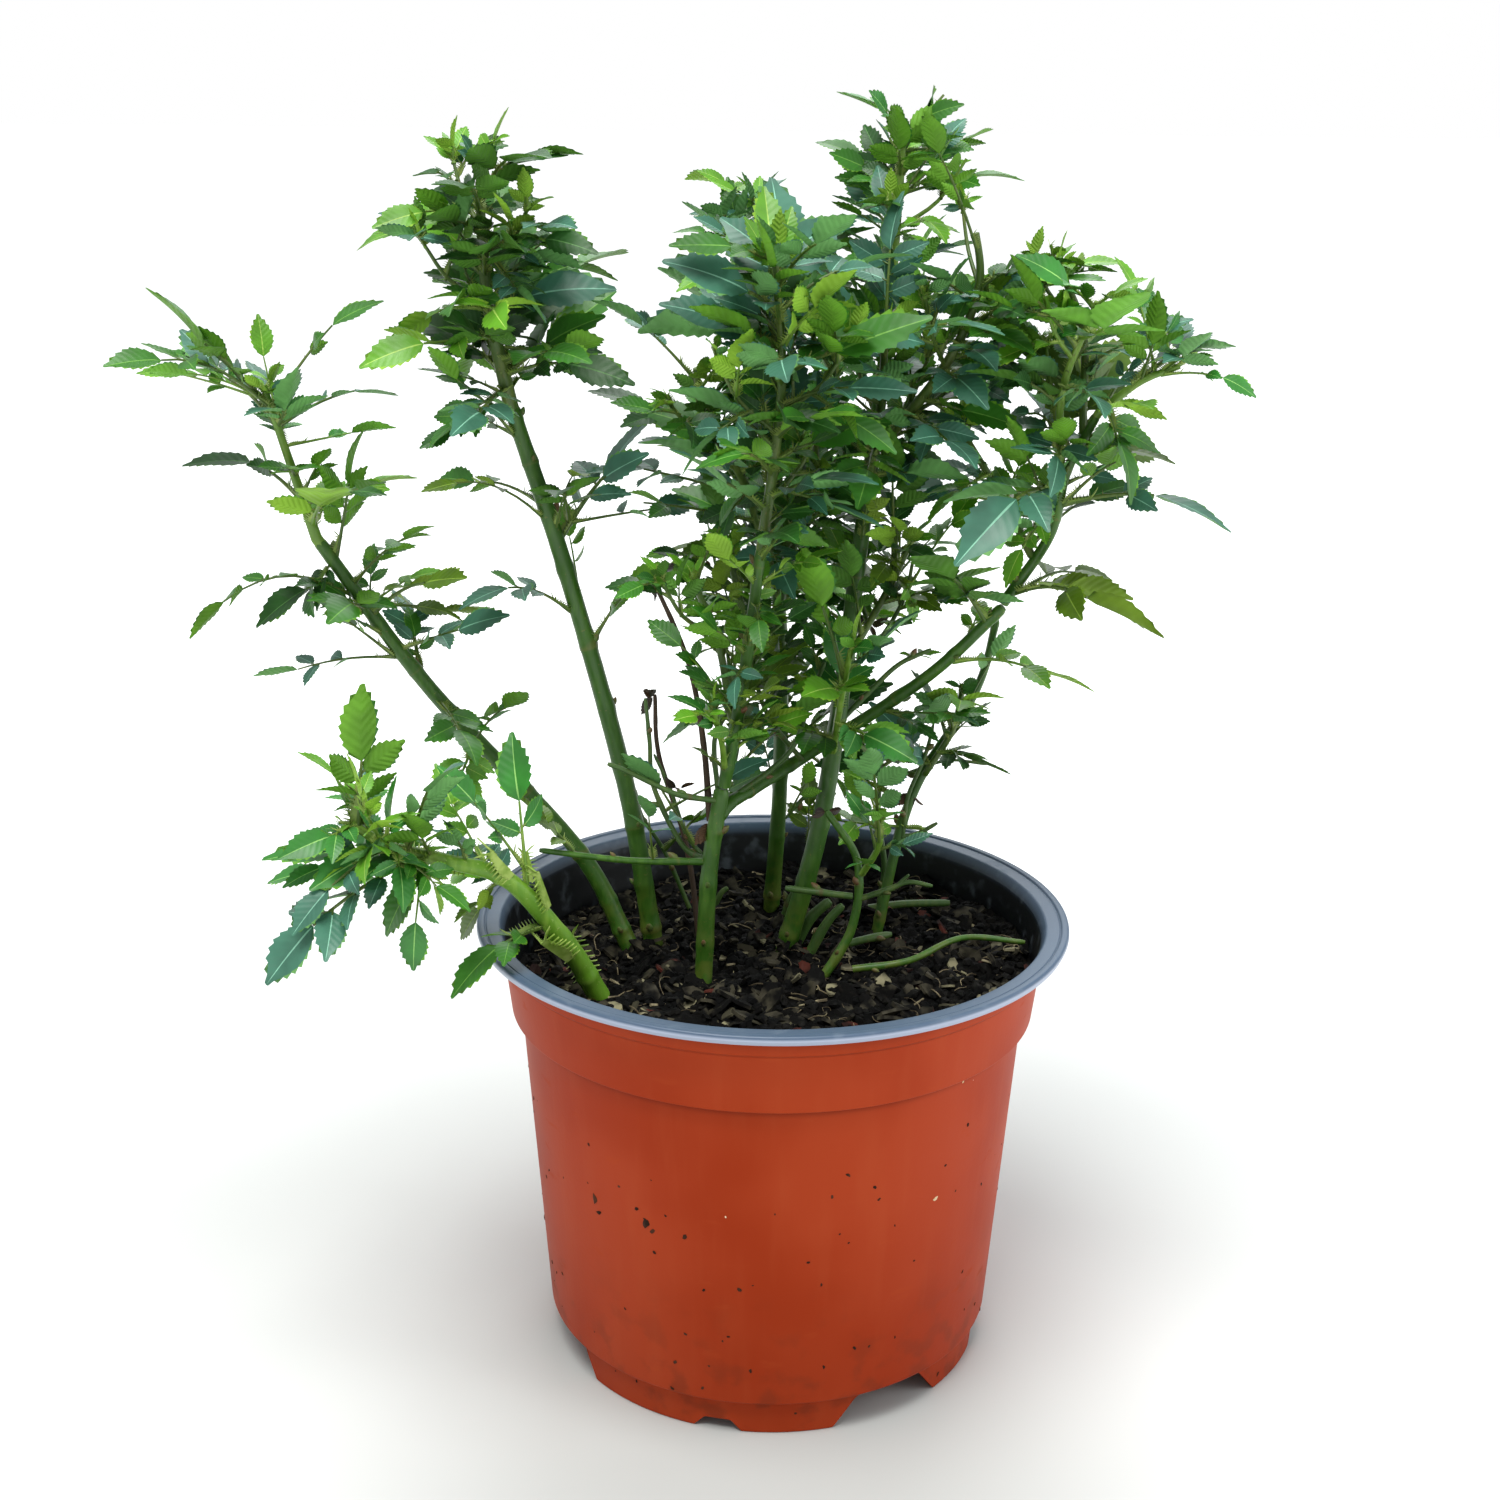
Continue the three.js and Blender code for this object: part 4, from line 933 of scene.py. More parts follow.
def describeBark(first, second, knot, foot=None, rough=0.42):
    def describe(g):
        where = g.place()
        streak = g.cloud(g.place((1, 1, 0.18)), 0.0016, 4.0)
        knots = g.node("ShaderNodeAttribute", {"attribute_name": "knot"}, output="Fac")
        patch = g.mask(streak, 0.35, 0.75) * g.mask(g.cloud(where, 0.01, 2.0), 0.3, 0.7)
        colour = g.mix(patch, paint(first), paint(second))
        if foot:
            aboveSoil = g.mask(g.part(where, "Z"), 0.103, 0.125)
            low = (1 - aboveSoil) * g.mask(g.cloud(where, 0.004, 4.0), 0.4, 0.62)
            colour = g.mix(low * 0.75, colour, paint(foot))
        specks = g.mask(g.cloud(where, 0.0011, 2.0), 0.66, 0.72)
        colour = g.mix(specks * 0.5, colour, paint(knot))
        colour = g.mix(g.mask(knots, 0.45, 0.95) * 0.55, colour, paint(knot))
        return {
            "Base Color": colour,
            "Roughness": rough + 0.15 * g.mask(streak, 0.5, 0.7),
            "Normal": g.bump(streak + 0.4 * specks, 0.00012, 0.7),
        }
    return describe


# Leaves. Colours are dealt out by leaf: the upper face, the underside and the rib.
tones = {
    "dark": {"top": "1c4f12", "under": "4b7a26", "rib": "528243", "slot": "dark_leaves"},
    "green": {"top": "306d16", "under": "5d9024", "rib": "6a9e42", "slot": "green_leaves"},
    "olive": {"top": "4b6a0e", "under": "708f26", "rib": "82a03c", "slot": "olive_leaves"},
    # The teal blue tone is partly the leaves' own bluish green and partly painted reflection: it stands for
    # the cool sky sheen on their upper faces.
    "blue": {"top": "3a6d58", "under": "5f9350", "rib": "80b89e", "slot": "bluish_leaves"},
    "young": {"top": "5a961c", "under": "84b034", "rib": "a0c458", "slot": "young_leaves"},
    "bright": {"top": "307a28", "under": "68a236", "rib": "8cc268", "slot": "bright_leaves"},
    "withered": {"top": "2a1c13", "under": "46321f", "rib": "54402c", "slot": "dry_wood"},
}
# For each shoot, the tones that its leaves are dealt: at its foot, and at its tip.
palettes = {
    "dark": (("dark", "blue", "dark", "green"), ("blue", "dark", "green", "young")),
    "green": (("green", "blue", "olive", "dark"), ("green", "young", "blue", "green")),
    "olive": (("olive", "dark", "green", "olive"), ("olive", "green", "dark", "young")),
    "blue": (("blue", "green", "blue", "dark"), ("blue", "green", "blue", "young")),
    "young": (("green", "blue", "young", "dark"), ("young", "blue", "bright", "green")),
    "bright": (("bright", "bright", "blue", "green"), ("bright", "young", "bright", "blue")),
}
# A leaflet's measures are shares of its length.
leafletShape = {"teeth": 8, "width": 0.46, "tooth": 0.038, "thickness": 0.016, "rib": 0.014, "kinds": 6}


def halfWidth(share, width):
    return 0.5 * width * math.sin(math.pi * share ** 0.82) ** (0.7 + 0.45 * share)


def makeLeafletShapes():
    shelf = bpy.data.collections.new("leafletShapes")
    for kind in range(leafletShape["kinds"]):
        dice = Dice(140 + kind)
        width = leafletShape["width"] * dice.roll(0.9, 1.12)
        arch, fold, wave = dice.roll(0.08, 0.3), dice.roll(0.2, 0.5), dice.roll(0, 6)
        leafletMesh(kind, shelf, width, arch, fold, wave)
    return shelf


def leafletMesh(kind, shelf, width, arch, fold, wave):
    teeth, rib, thickness = leafletShape["teeth"], leafletShape["rib"], leafletShape["thickness"]

    def spot(x, y, drop=0.0):
        cup = fold * abs(y) - 0.9 * fold * y * y / max(width, 0.1)
        ripple = 0.05 * abs(y) * math.sin(9 * x + wave + (2 if y > 0 else 0))
        return Vector((x, y, cup + ripple - arch * x * x - drop)) * 1000

    points = [spot(0, 0, thickness / 2), spot(1, 0)]
    rows = {}

    def add(key, x, y, drop=0.0):
        rows[key] = len(points)
        points.append(spot(x, y, drop))

    for k in range(teeth + 1):
        share = k / teeth
        if 0 < k < teeth:
            add(("keel", k), share, 0, 2.2 * thickness * (1 - 0.6 * share))
        for side in (-1, 1):
            if 0 < k < teeth:
                add(("rib", side, k), share, side * rib * (1 - 0.7 * share))
                add(("half", side, k), share + 0.02, side * 0.55 * halfWidth(share, width))
                add(("below", side, k), share + 0.02, side * 0.55 * halfWidth(share, width), thickness)
                add(("notch", side, k), share + 0.03 * (1 - share), side * halfWidth(share, width))
            else:
                for row in ("rib", "half", "below", "notch"):
                    rows[(row, side, k)] = 0 if k == 0 else 1
            if k < teeth:
                tip = min(share + 0.9 / teeth, 0.985)
                tooth = leafletShape["tooth"] * (1 if k < teeth - 1 else 0.3)
                add(("tooth", side, k), tip, side * (halfWidth(share + 0.6 / teeth, width) + tooth))
    rows[("keel", 0)], rows[("keel", teeth)] = 0, 1
    faces, parts = [], []

    def face(part, *keys):
        ring = []
        for key in keys:
            if rows[key] not in ring:
                ring.append(rows[key])
        if len(ring) > 2:
            faces.append(ring)
            parts.append(part)

    for k in range(teeth):
        face(2, ("rib", -1, k), ("rib", -1, k + 1), ("rib", 1, k + 1), ("rib", 1, k))
        for side in (-1, 1):
            face(0, ("rib", side, k), ("half", side, k), ("half", side, k + 1), ("rib", side, k + 1))
            edge = (("notch", side, k), ("tooth", side, k), ("notch", side, k + 1))
            face(0, ("half", side, k), *edge, ("half", side, k + 1))
            face(1, ("keel", k), ("below", side, k), ("below", side, k + 1), ("keel", k + 1))
            face(1, ("below", side, k), *edge, ("below", side, k + 1))
    made = shapeObject(f"leafletShape{kind}", points, faces, shelf)
    setAttribute(made.data, "part", "INT", parts, "FACE")
    places = [value for vertex in made.data.vertices for value in (vertex.co.x, vertex.co.y, 0)]
    setAttribute(made.data, "place", "FLOAT_VECTOR", places)
    smoothOver(made.data, 60)


leafFaces = ("Upper face", "Underside", "Rib")


# Sets a shape on each point, turned and sized as the point's attributes say.
def makeSettingTree():
    materials = [(name, "Material") for name in leafFaces]
    tree, g, given = makeTree("setOut", ("Points", "Geometry"), ("Shapes", "Collection"), *materials)

    def attribute(name, kind):
        return g.node("GeometryNodeInputNamedAttribute", {"data_type": kind}, {"Name": name})

    turn = g.node("FunctionNodeAxesToRotation", {"primary_axis": "X", "secondary_axis": "Z"}, {
        0: attribute("along", "FLOAT_VECTOR"), 1: attribute("face", "FLOAT_VECTOR")})
    shapes = g.node("GeometryNodeCollectionInfo", {}, {
        "Collection": given.out("Shapes"), "Separate Children": True, "Reset Children": True})
    points = g.node("GeometryNodeMeshToPoints", {}, {"Mesh": given})
    setOut = g.node("GeometryNodeInstanceOnPoints", {}, {
        "Points": points, "Instance": shapes, "Pick Instance": True,
        "Instance Index": attribute("kind", "INT"), "Rotation": turn, "Scale": attribute("span", "FLOAT")})
    done = g.node("GeometryNodeRealizeInstances", {}, {0: setOut})
    part = attribute("part", "INT")
    for number, name in enumerate(leafFaces):
        equal = {"data_type": "INT", "operation": "EQUAL"}
        chosen = g.node("FunctionNodeCompare", equal, {2: part, 3: number})
        done = g.node("GeometryNodeSetMaterial", {}, {
            "Geometry": done, "Selection": chosen, "Material": given.out(name)})
    g.node("NodeGroupOutput", {}, {0: done})
    return tree


# A tube along each line of the base mesh, as thick as the point's girth.
def makeStemTree():
    tree, g, given = makeTree("stems", ("Lines", "Geometry"), ("Sides", "Int"), ("Finish", "Material"))
    girth = g.node("GeometryNodeInputNamedAttribute", {"data_type": "FLOAT"}, {"Name": "girth"})
    lines = g.node("GeometryNodeMeshToCurve", {}, {"Mesh": given})
    ring = g.node("GeometryNodeCurvePrimitiveCircle", {}, {"Resolution": given.out("Sides"), "Radius": 1.0})
    tubes = g.node("GeometryNodeCurveToMesh", {}, {
        "Curve": lines, "Profile Curve": ring, "Scale": girth, "Fill Caps": True})
    real = g.node("GeometryNodeRealizeInstances", {}, {0: tubes})
    soft = g.node("GeometryNodeSetShadeSmooth", {}, {"Geometry": real})
    done = g.node("GeometryNodeSetMaterial", {}, {"Geometry": soft, "Material": given.out("Finish")})
    g.node("NodeGroupOutput", {}, {0: done})
    return tree


def pointBase(name, blades):  # one point for each part that is set out, with its directions, span and kind
    mesh = bpy.data.meshes.new(name)
    mesh.from_pydata([placed(blade["root"]) for blade in blades], [], [])
    for key in ("along", "face"):
        setAttribute(mesh, key, "FLOAT_VECTOR", [value for blade in blades for value in blade[key]])
    setAttribute(mesh, "span", "FLOAT", [blade["length"] * mm for blade in blades])
    setAttribute(mesh, "kind", "INT", [blade["kind"] for blade in blades])
    return mesh


def lineBase(name, stems):  # one line of edges for each stem
    points, edges, girths = [], [], []
    for stem in stems:
        first = len(points)
        points += [placed(point) for point in stem["points"]]
        girths += [radius * mm for radius in stem["radii"]]
        edges += [(i, i + 1) for i in range(first, len(points) - 1)]
    mesh = bpy.data.meshes.new(name)
    mesh.from_pydata(points, edges, [])
    setAttribute(mesh, "girth", "FLOAT", girths)
    return mesh


# The growing rule. Angles in the set of leaflets are radians, those round a shoot degrees.
leaflets = {
    "seats": {1: (0.66,), 2: (0.5, 0.8), 3: (0.42, 0.64, 0.85)}, "endLength": 1.1, "sideLength": (0.72, 0.95),
    "lowestPair": 0.8, "spread": (0.8, 1.25), "rise": (-0.2, 0.4), "roll": 0.9, "backTilt": 0.25,
    "shortestStem": 0.45, "stagger": 0.7, "stalk": 0.06,
}
habit = {
    "turn": 137.5, "lean": (46, 80), "uprightAtTip": 24, "reach": (0.7, 1.25), "smallerAtTip": 0.12,
    "droop": (0.1, 1.0), "outward": 0.45, "threePairs": 0.45, "tries": 5, "nextTry": 29, "below": 8,
    "room": 0.34, "clearOfWood": 0.8,
}
tuft = {"leaves": 4, "length": 0.45, "reach": (0.7, 1.0), "shorter": 0.12, "lean": (14, 34), "size": 0.55,
        "young": 0.6}
twiglets = {"least": 8, "many": 18, "places": (0.08, 0.75), "length": (0.55, 0.95), "leaves": 5,
            "leafLength": 0.66, "size": 0.85, "radii": (0.65, 0.4), "lean": 1.3, "upturn": 0.7}
leafStem = {"inset": 0.9, "radii": (0.52, 0.26), "stalkRadius": 0.24, "steps": 7, "middleSize": 13,
            "girth": (0.7, 1.35), "sheath": 6.2, "bristles": 7, "bristleTurn": 2.4, "bristleLength": 0.95}
softPalettes = ("young", "bright")


def arcAt(root, middle, tip, share):
    return root * (1 - share) ** 2 + middle * 2 * share * (1 - share) + tip * share * share


def arcTangent(root, middle, tip, share):
    return ((middle - root) * (1 - share) + (tip - middle) * share).normalized()


# A leaf on an arched stem, before it is known which of its leaflets have room.
def planLeaf(root, middle, tip, pairs, size, dice):
    length = (middle - root).length + (tip - middle).length
    stemEnd = max(leaflets["shortestStem"], 1 - leaflets["endLength"] * size / length)
    blades = []

    def addBlade(share, spread, side, bladeLength):
        tangent = arcTangent(root, middle, tip, share)
        face = up - Vector((tangent.x, tangent.y, 0)) * leaflets["backTilt"]
        face = square(face, tangent)
        across = tangent.cross(face)
        rise = face * dice.roll(*leaflets["rise"])
        along = tangent * math.cos(spread) + across * side * math.sin(spread) + rise
        along.normalize()
        roll = dice.roll(-leaflets["roll"], leaflets["roll"])
        face = Matrix.Rotation(roll, 3, along) @ square(face, along)
        seat = arcAt(root, middle, tip, share)
        stalk = leaflets["stalk"] * bladeLength if spread else 0
        kind = dice.state // 65536 % leafletShape["kinds"]
        blades.append({"seat": seat, "root": seat + along * stalk, "along": along, "face": face,
                       "length": bladeLength - stalk, "kind": kind})

    addBlade(stemEnd, 0, 1, leaflets["endLength"] * size)
    for index, seat in enumerate(leaflets["seats"][pairs]):
        growth = between((leaflets["lowestPair"], 1), index / max(1, pairs - 1))
        for side in (-1, 1):
            share = seat * stemEnd + side * leaflets["stagger"] / length
            spread = dice.roll(*leaflets["spread"])
            addBlade(share, spread, side, size * dice.roll(*leaflets["sideLength"]) * growth)
    steps = leafStem["steps"]
    stem = [arcAt(root, middle, tip, stemEnd * i / steps) for i in range(steps + 1)]
    return {"stem": stem, "blades": blades, "size": size}


class Thicket:  # what has grown so far, so that new leaves keep clear of it
    def __init__(self):
        self.limbSpots = np.zeros((0, 3))
        self.limbRadii = np.zeros(0)
        self.middles = np.zeros((6000, 3))
        self.lengths = np.zeros(6000)
        self.count = 0

    def addLimb(self, curve, radii):
        count = max(10, round(curve.length()))
        spots = np.array([tuple(curve.at(i / count)) for i in range(count + 1)])
        self.limbSpots = np.vstack([self.limbSpots, spots])
        self.limbRadii = np.append(self.limbRadii, np.linspace(*radii, count + 1))

    def hasRoom(self, blade):
        tip = blade["root"] + blade["along"] * blade["length"]
        if any(tip[axis] < plantLow[axis] or tip[axis] > plantHigh[axis] for axis in range(3)):
            return False
        for share in (0.4, 0.7, 1.0):
            spot = np.array(blade["root"] + blade["along"] * blade["length"] * share)
            gaps = np.linalg.norm(self.limbSpots - spot, axis=1) - self.limbRadii
            if gaps.min() < habit["clearOfWood"]:
                return False
        middle = np.array(blade["root"] + blade["along"] * blade["length"] * 0.5)
        if not self.count:
            return True
        gaps = np.linalg.norm(self.middles[:self.count] - middle, axis=1)
        return bool((gaps > habit["room"] * (self.lengths[:self.count] + blade["length"]) / 2).all())

    def add(self, blade):
        self.middles[self.count] = blade["root"] + blade["along"] * blade["length"] * 0.5
        self.lengths[self.count] = blade["length"]
        self.count += 1


thicket = Thicket()
grownLeaves = {"blades": [], "stems": [], "sheaths": [], "bristles": []}
numbers = {"grown": 0}  # each leaf has its number, in the order they grow


def grow(plan, tone, youth=0.0):  # puts a planned leaf in place, less the leaflets that have no room
    kept = []
    for blade in plan["blades"]:
        if thicket.hasRoom(blade):
            thicket.add(blade)
            kept.append(blade)
    if not kept:
        return
    numbers["grown"] += 1
    number = numbers["grown"]
    grownLeaves["blades"] += [{**blade, "tone": tone, "leaf": number} for blade in kept]
    stem, steps = plan["stem"], leafStem["steps"]
    least, most = leafStem["girth"]
    girth = min(most, max(least, plan["size"] / leafStem["middleSize"]))
    radii = [girth * between(leafStem["radii"], i / steps) for i in range(steps + 1)]
    along = (stem[1] - stem[0]).normalized()
    start = stem[0] - along * leafStem["inset"]
    common = {"soft": tone in softPalettes, "leaf": number}
    grownLeaves["stems"].append({"points": [start, *stem], "radii": [radii[0], *radii], **common})
    thin = leafStem["stalkRadius"] * girth
    for blade in kept:
        if blade["seat"] != blade["root"]:
            reach = [blade["seat"], blade["root"], blade["root"] + blade["along"] * 0.1 * blade["length"]]
            grownLeaves["stems"].append({"points": reach, "radii": [thin, thin, 0.6 * thin], **common})
    along = (stem[2] - stem[0]).normalized()
    face = up - along * along.z
    if face.length > 0.1:
        span = leafStem["sheath"] * girth * (1 + 0.5 * youth)
        grownLeaves["sheaths"].append({"root": stem[0], "along": along, "face": face.normalized(),
                                       "length": span, "kind": 0, **common})
    for i in range(1, leafStem["bristles"]):
        place = i / leafStem["bristles"] * steps
        low = int(place)
        spot = stem[low].lerp(stem[min(low + 1, steps)], place - low)
        out = turned(along, leafStem["bristleTurn"] * i)
        grownLeaves["bristles"].append({"root": spot + out * 0.25 * girth, "along": out, "face": along,
                                        "length": leafStem["bristleLength"] * girth, "kind": 0, **common})


def toneFor(palette, share, dice):  # share is how far up the shoot the leaf sits
    foot, tip = palettes[palette]
    choice = tip if dice.roll(0, 1) < share else foot
    return choice[int(dice.roll(0, len(choice) - 0.001))]


# A leaf with a given tip. A given leaf is written as its tip, the rise of its arch, its pairs and its size.
def growTo(root, leaf, palette, share, dice, youth=0.0):
    tip, arch, pairs, size = leaf
    tip = Vector(tip)
    plan = planLeaf(root, (root + tip) / 2 + up * arch, tip, pairs, size, dice)
    grow(plan, toneFor(palette, share, dice), youth)
    return plan["stem"]


def diceFor(leaf):  # each given leaf has dice of its own
    x, y, z = leaf[0]
    return Dice(31 * (x + 200) + 17 * (y + 100) + z)


# Single leaves and groups of leaves with one root: limb, height on it, palette and given leaves.
sprays = {
    "left_cane_leaf_1": ("left_cane", 157, "olive", [
        ((-81, -15, 150), -5, 3, 13), ((-61, -4, 170), 9, 2, 10)]),
    "left_cane_leaf_2": ("left_cane", 167, "green", [
        ((-72, -13, 156), 4, 2, 13), ((-89, -13, 136), -5, 1, 15)]),
    "left_cane_leaf_3": ("left_cane", 180, "dark", [((-129, 3, 173), 5, 2, 10)]),
    "left_cane_leaf_4": ("left_cane", 181, "dark", [((-66, -5, 193), 1, 3, 13)]),
    "left_cane_leaf_5": ("left_cane", 191, "olive", [
        ((-74, -21, 204), 8, 1, 15), ((-74, 30, 183), 3, 3, 13)]),
    "left_cane_leaf_6": ("left_cane", 197, "dark", [
        ((-142, -7, 188), 18, 3, 11), ((-122, 1, 189), 7, 2, 14)]),
    "left_cane_leaf_7": ("left_cane", 193, "blue", [((-103, -21, 200), 1, 2, 15)]),
    "left_cane_leaf_8": ("left_cane", 205, "green", [((-100, -1, 239), -2, 3, 13)]),
    "tall_left_leaf_1": ("tall_left_cane", 184, "green", [((-28, 0, 202), 9, 3, 12)]),
    "tall_left_leaf_2": ("tall_left_cane", 193, "green", [((-74, -8, 197), 10, 2, 12)]),
    "tall_left_leaf_3": ("tall_left_cane", 211, "dark", [
        ((-30, 21, 233), 8, 2, 18), ((-52, -14, 225), 8, 2, 13), ((-20, 23, 216), 1, 1, 11)]),
    "tall_left_leaf_4": ("tall_left_cane", 217, "green", [((-81, -19, 226), 10, 2, 9)]),
    "right_leaf_1": ("right_bough", 180, "olive", [((77, -1, 172), 9, 2, 14)]),
    "right_leaf_2": ("right_bough", 190, "blue", [((32, -11, 209), 8, 3, 18)]),
    "right_leaf_3": ("upper_right_bough", 199, "olive", [
        ((88, -17, 187), 15, 3, 21), ((82, 15, 195), 11, 3, 12)]),
    "right_leaf_4": ("upper_right_bough", 221, "green", [((107, -8, 220), 8, 1, 18)]),
    "right_leaf_5": ("upper_right_bough", 224, "blue", [((44, -23, 212), 13, 2, 20)]),
    "right_leaf_6": ("upper_right_bough", 235, "olive", [
        ((92, 18, 227), 3, 2, 18), ((72, 26, 264), 5, 3, 21)]),
    "low_twig_leaf": ("low_twig", 137, "green", [((-64, -16, 148), 5, 3, 10)]),
    "young_shoot_leaf_1": ("young_shoot", 133, "bright", [
        ((-62, -26, 172), -3, 1, 15), ((-78, -31, 163), 3, 2, 11)]),
    "young_shoot_leaf_2": ("young_shoot", 124, "bright", [((-76, -44, 115), 3, 2, 15)]),
}


# Leafy shoots. Without a height the shoot grows on from the limb's tip; long holds given leaves.
shootKeys = ("limb", "height", "palette", "seed", "path", "radii", "leaves", "length", "size", "long")
shoots = {
    "left_crown": (
        "left_cane", None, "young", 1367, [(-116, 2, 225), (-121, -3, 247)], (1.6, 0.9), 5, 20, 10, [
            ((-146, -9, 267), 5, 2, 16), ((-97, 4, 269), 5, 1, 12), ((-138, 2, 227), 12, 1, 15),
            ((-90, 13, 223), 6, 2, 11), ((-104, -20, 222), 7, 2, 21), ((-113, -10, 247), 1, 3, 13),
            ((-137, 7, 257), 5, 3, 13), ((-90, -22, 228), 2, 2, 11), ((-148, -26, 253), 14, 2, 12),
            ((-95, 24, 244), 6, 1, 12)]),
    "tall_left_crown": (
        "tall_left_cane", None, "dark", 1418, [(-68, 0, 265), (-69, -3, 283), (-69, -4, 300)], (2.0, 0.9),
        30, 33, 14, [
            ((-86, 12, 253), 11, 2, 17), ((-87, 15, 283), 12, 3, 20), ((-64, 12, 272), 12, 3, 21),
            ((-36, -8, 250), 8, 2, 15), ((-43, 15, 259), 6, 2, 20), ((-48, -1, 270), 6, 2, 18),
            ((-40, 42, 271), 14, 2, 17), ((-54, -24, 298), 12, 3, 17), ((-81, 10, 294), 2, 2, 13),
            ((-65, 38, 259), 15, 3, 21)]),
    "front_crown": (
        "front_bough", None, "blue", 2236, [(-1, -21, 238), (0, -24, 258), (-2, -25, 280)], (1.4, 0.9), 24,
        33, 15, [
            ((-28, -4, 266), 4, 3, 20), ((-1, -5, 293), -2, 2, 20), ((26, -32, 262), 5, 3, 21),
            ((-16, -31, 272), 8, 2, 18)]),
    "centre_left_crown": (
        "back_cane", 196, "green", 240, [(-8, 16, 222), (-18, 5, 241), (-20, 1, 254)], (1.3, 0.9), 12, 28,
        13, [
            ((-46, 5, 220), 3, 2, 13), ((-26, 11, 239), 3, 3, 15), ((-28, -3, 237), 2, 3, 19),
            ((-47, 14, 229), 1, 3, 13)]),
    "back_crown": (
        "back_cane", None, "blue", 1294, [(-6, 30, 272), (-6, 31, 288)], (1.5, 0.8), 12, 24, 12, [
            ((8, 37, 265), 9, 3, 21), ((-25, 39, 265), 4, 3, 18)]),
    "back_low_shoot": (
        "back_cane", 186, "dark", 1260, [(4, 48, 206), (3, 56, 226)], (1.2, 0.8), 12, 30, 14),
    "inner_shoot_1": (
        "back_cane", 160, "olive", 2983, [(-6, 26, 180), (-12, 23, 202)], (1.0, 0.8), 10, 27, 11),
    "inner_shoot_2": (
        "front_bough", 170, "olive", 1223, [(-14, -9, 188), (-20, -7, 203)], (1.0, 0.8), 9, 27, 11),
    "inner_shoot_3": (
        "tall_right_cane", 182, "olive", 1932, [(28, 17, 196), (33, 18, 207)], (1.0, 0.8), 8, 27, 11),
    "inner_shoot_4": (
        "back_cane", 204, "dark", 2124, [(9, 24, 218), (9, 12, 234)], (1.1, 0.8), 10, 28, 12),
    "tall_right_crown": (
        "tall_right_cane", None, "young", 1781, [(27, 21, 274), (28, 22, 290), (29, 24, 307)], (1.7, 0.8),
        20, 25, 12, [
            ((49, 27, 324), 5, 2, 15), ((31, 17, 317), 0, 3, 12), ((57, 20, 298), 2, 2, 12),
            ((65, 7, 273), -1, 3, 18), ((17, 36, 290), 4, 2, 14)]),
    "tall_right_front_shoot": (
        "tall_right_cane", 222, "blue", 498, [(24, 3, 245), (24, -7, 264)], (1.3, 0.8), 12, 32, 15),
    "tall_right_low_shoot": (
        "tall_right_cane", 156, "bright", 2251, [(16, -1, 172), (18, -7, 187)], (1.0, 0.8), 6, 22, 15),
    "right_centre_crown": (
        "tall_right_cane", 232, "blue", 1859, [(39, 5, 253), (46, 2, 272), (44, 0, 288)], (1.4, 0.8), 18,
        28, 14),
    "bough_shoot": (
        "upper_right_bough", 207, "green", 262, [(54, 10, 222), (45, 14, 236)], (1.1, 0.8), 9, 28, 13),
    "right_upright_shoot": (
        "upper_right_bough", 228, "young", 758, [(66, -4, 249), (72, -10, 270)], (1.1, 0.8), 9, 29, 14, [
            ((76, -33, 271), -2, 3, 21)]),
    "right_top_shoot": (
        "upper_right_bough", 238, "blue", 1642, [(72, 10, 262), (64, 13, 279)], (1.1, 0.8), 9, 27, 13),
    "right_crown": (
        "upper_right_bough", None, "young", 2324, [(84, -3, 251), (93, -4, 255)], (1.1, 0.8), 7, 24, 13, [
            ((116, 2, 257), 13, 3, 18), ((86, 2, 265), 10, 3, 11), ((82, -11, 229), 1, 3, 15)]),
    "back_right_leaves": (
        "back_right_cane", 146, "dark", 269, [(46, 21, 158), (48, 21, 168)], (0.9, 0.8), 7, 22, 14),
    "sprout_leaves": (
        "sprout_cane", 128, "bright", 2144, [(26, -9, 137), (26, -11, 145)], (0.9, 0.7), 4, 16, 8),
    "front_low_leaves": (
        "front_bough", 158, "bright", 2182, [(-13, -15, 165), (-15, -20, 175)], (0.9, 0.7), 5, 19, 9),
    "young_crown": (
        "young_shoot", None, "bright", 1760, [(-90, -40, 147), (-98, -41, 153)], (1.8, 1.0), 8, 22, 13, [
            ((-92, -48, 185), 4, 3, 17), ((-117, -38, 136), 8, 3, 21), ((-119, -56, 118), 10, 3, 16),
            ((-89, -41, 127), 4, 3, 14)]),
}
shoots = {name: {"long": (), **dict(zip(shootKeys, row))} for name, row in shoots.items()}


def beside(curve, radii, share, target):  # a spot on a limb's surface, on the target's side
    centre = curve.at(share)
    return centre + square(Vector(target) - centre, curve.tangent(share)) * between(radii, share)


def besideLimb(name, height, target):
    curve, radii = limbs[name]
    share = curve.shareAtHeight(height)
    return curve.at(share), beside(curve, radii, share, target)


def addStem(points, radii, palette):  # the bare stem of a shoot or twiglet
    grownLeaves["stems"].append({"points": points, "radii": radii, "soft": palette in softPalettes})


def rootShoots():
    for this in shoots.values():
        if this["height"]:
            inside, root = besideLimb(this["limb"], this["height"], this["path"][0])
        else:
            curve = limbs[this["limb"]][0]
            inside, root = curve.at(0.99), curve.at(1) + curve.tangent(1) * 0.4
        stem = this["stem"] = Curve([root, *this["path"]])
        thicket.addLimb(stem, this["radii"])
        count = max(6, round(stem.length() / 2.5))
        shares = [i / count for i in range(count + 1)]
        addStem([inside, *(stem.at(share) for share in shares)],
                [this["radii"][0], *(between(this["radii"], share) for share in shares)], this["palette"])


def growSpray(limb, height, palette, leaves):
    root = besideLimb(limb, height, leaves[0][0])[1]
    for i, leaf in enumerate(leaves):
        stem = growTo(root, leaf, palette, 0.5, diceFor(leaf), 0.6 if palette == "bright" else 0)
        if i == 0:
            root = stem[1]


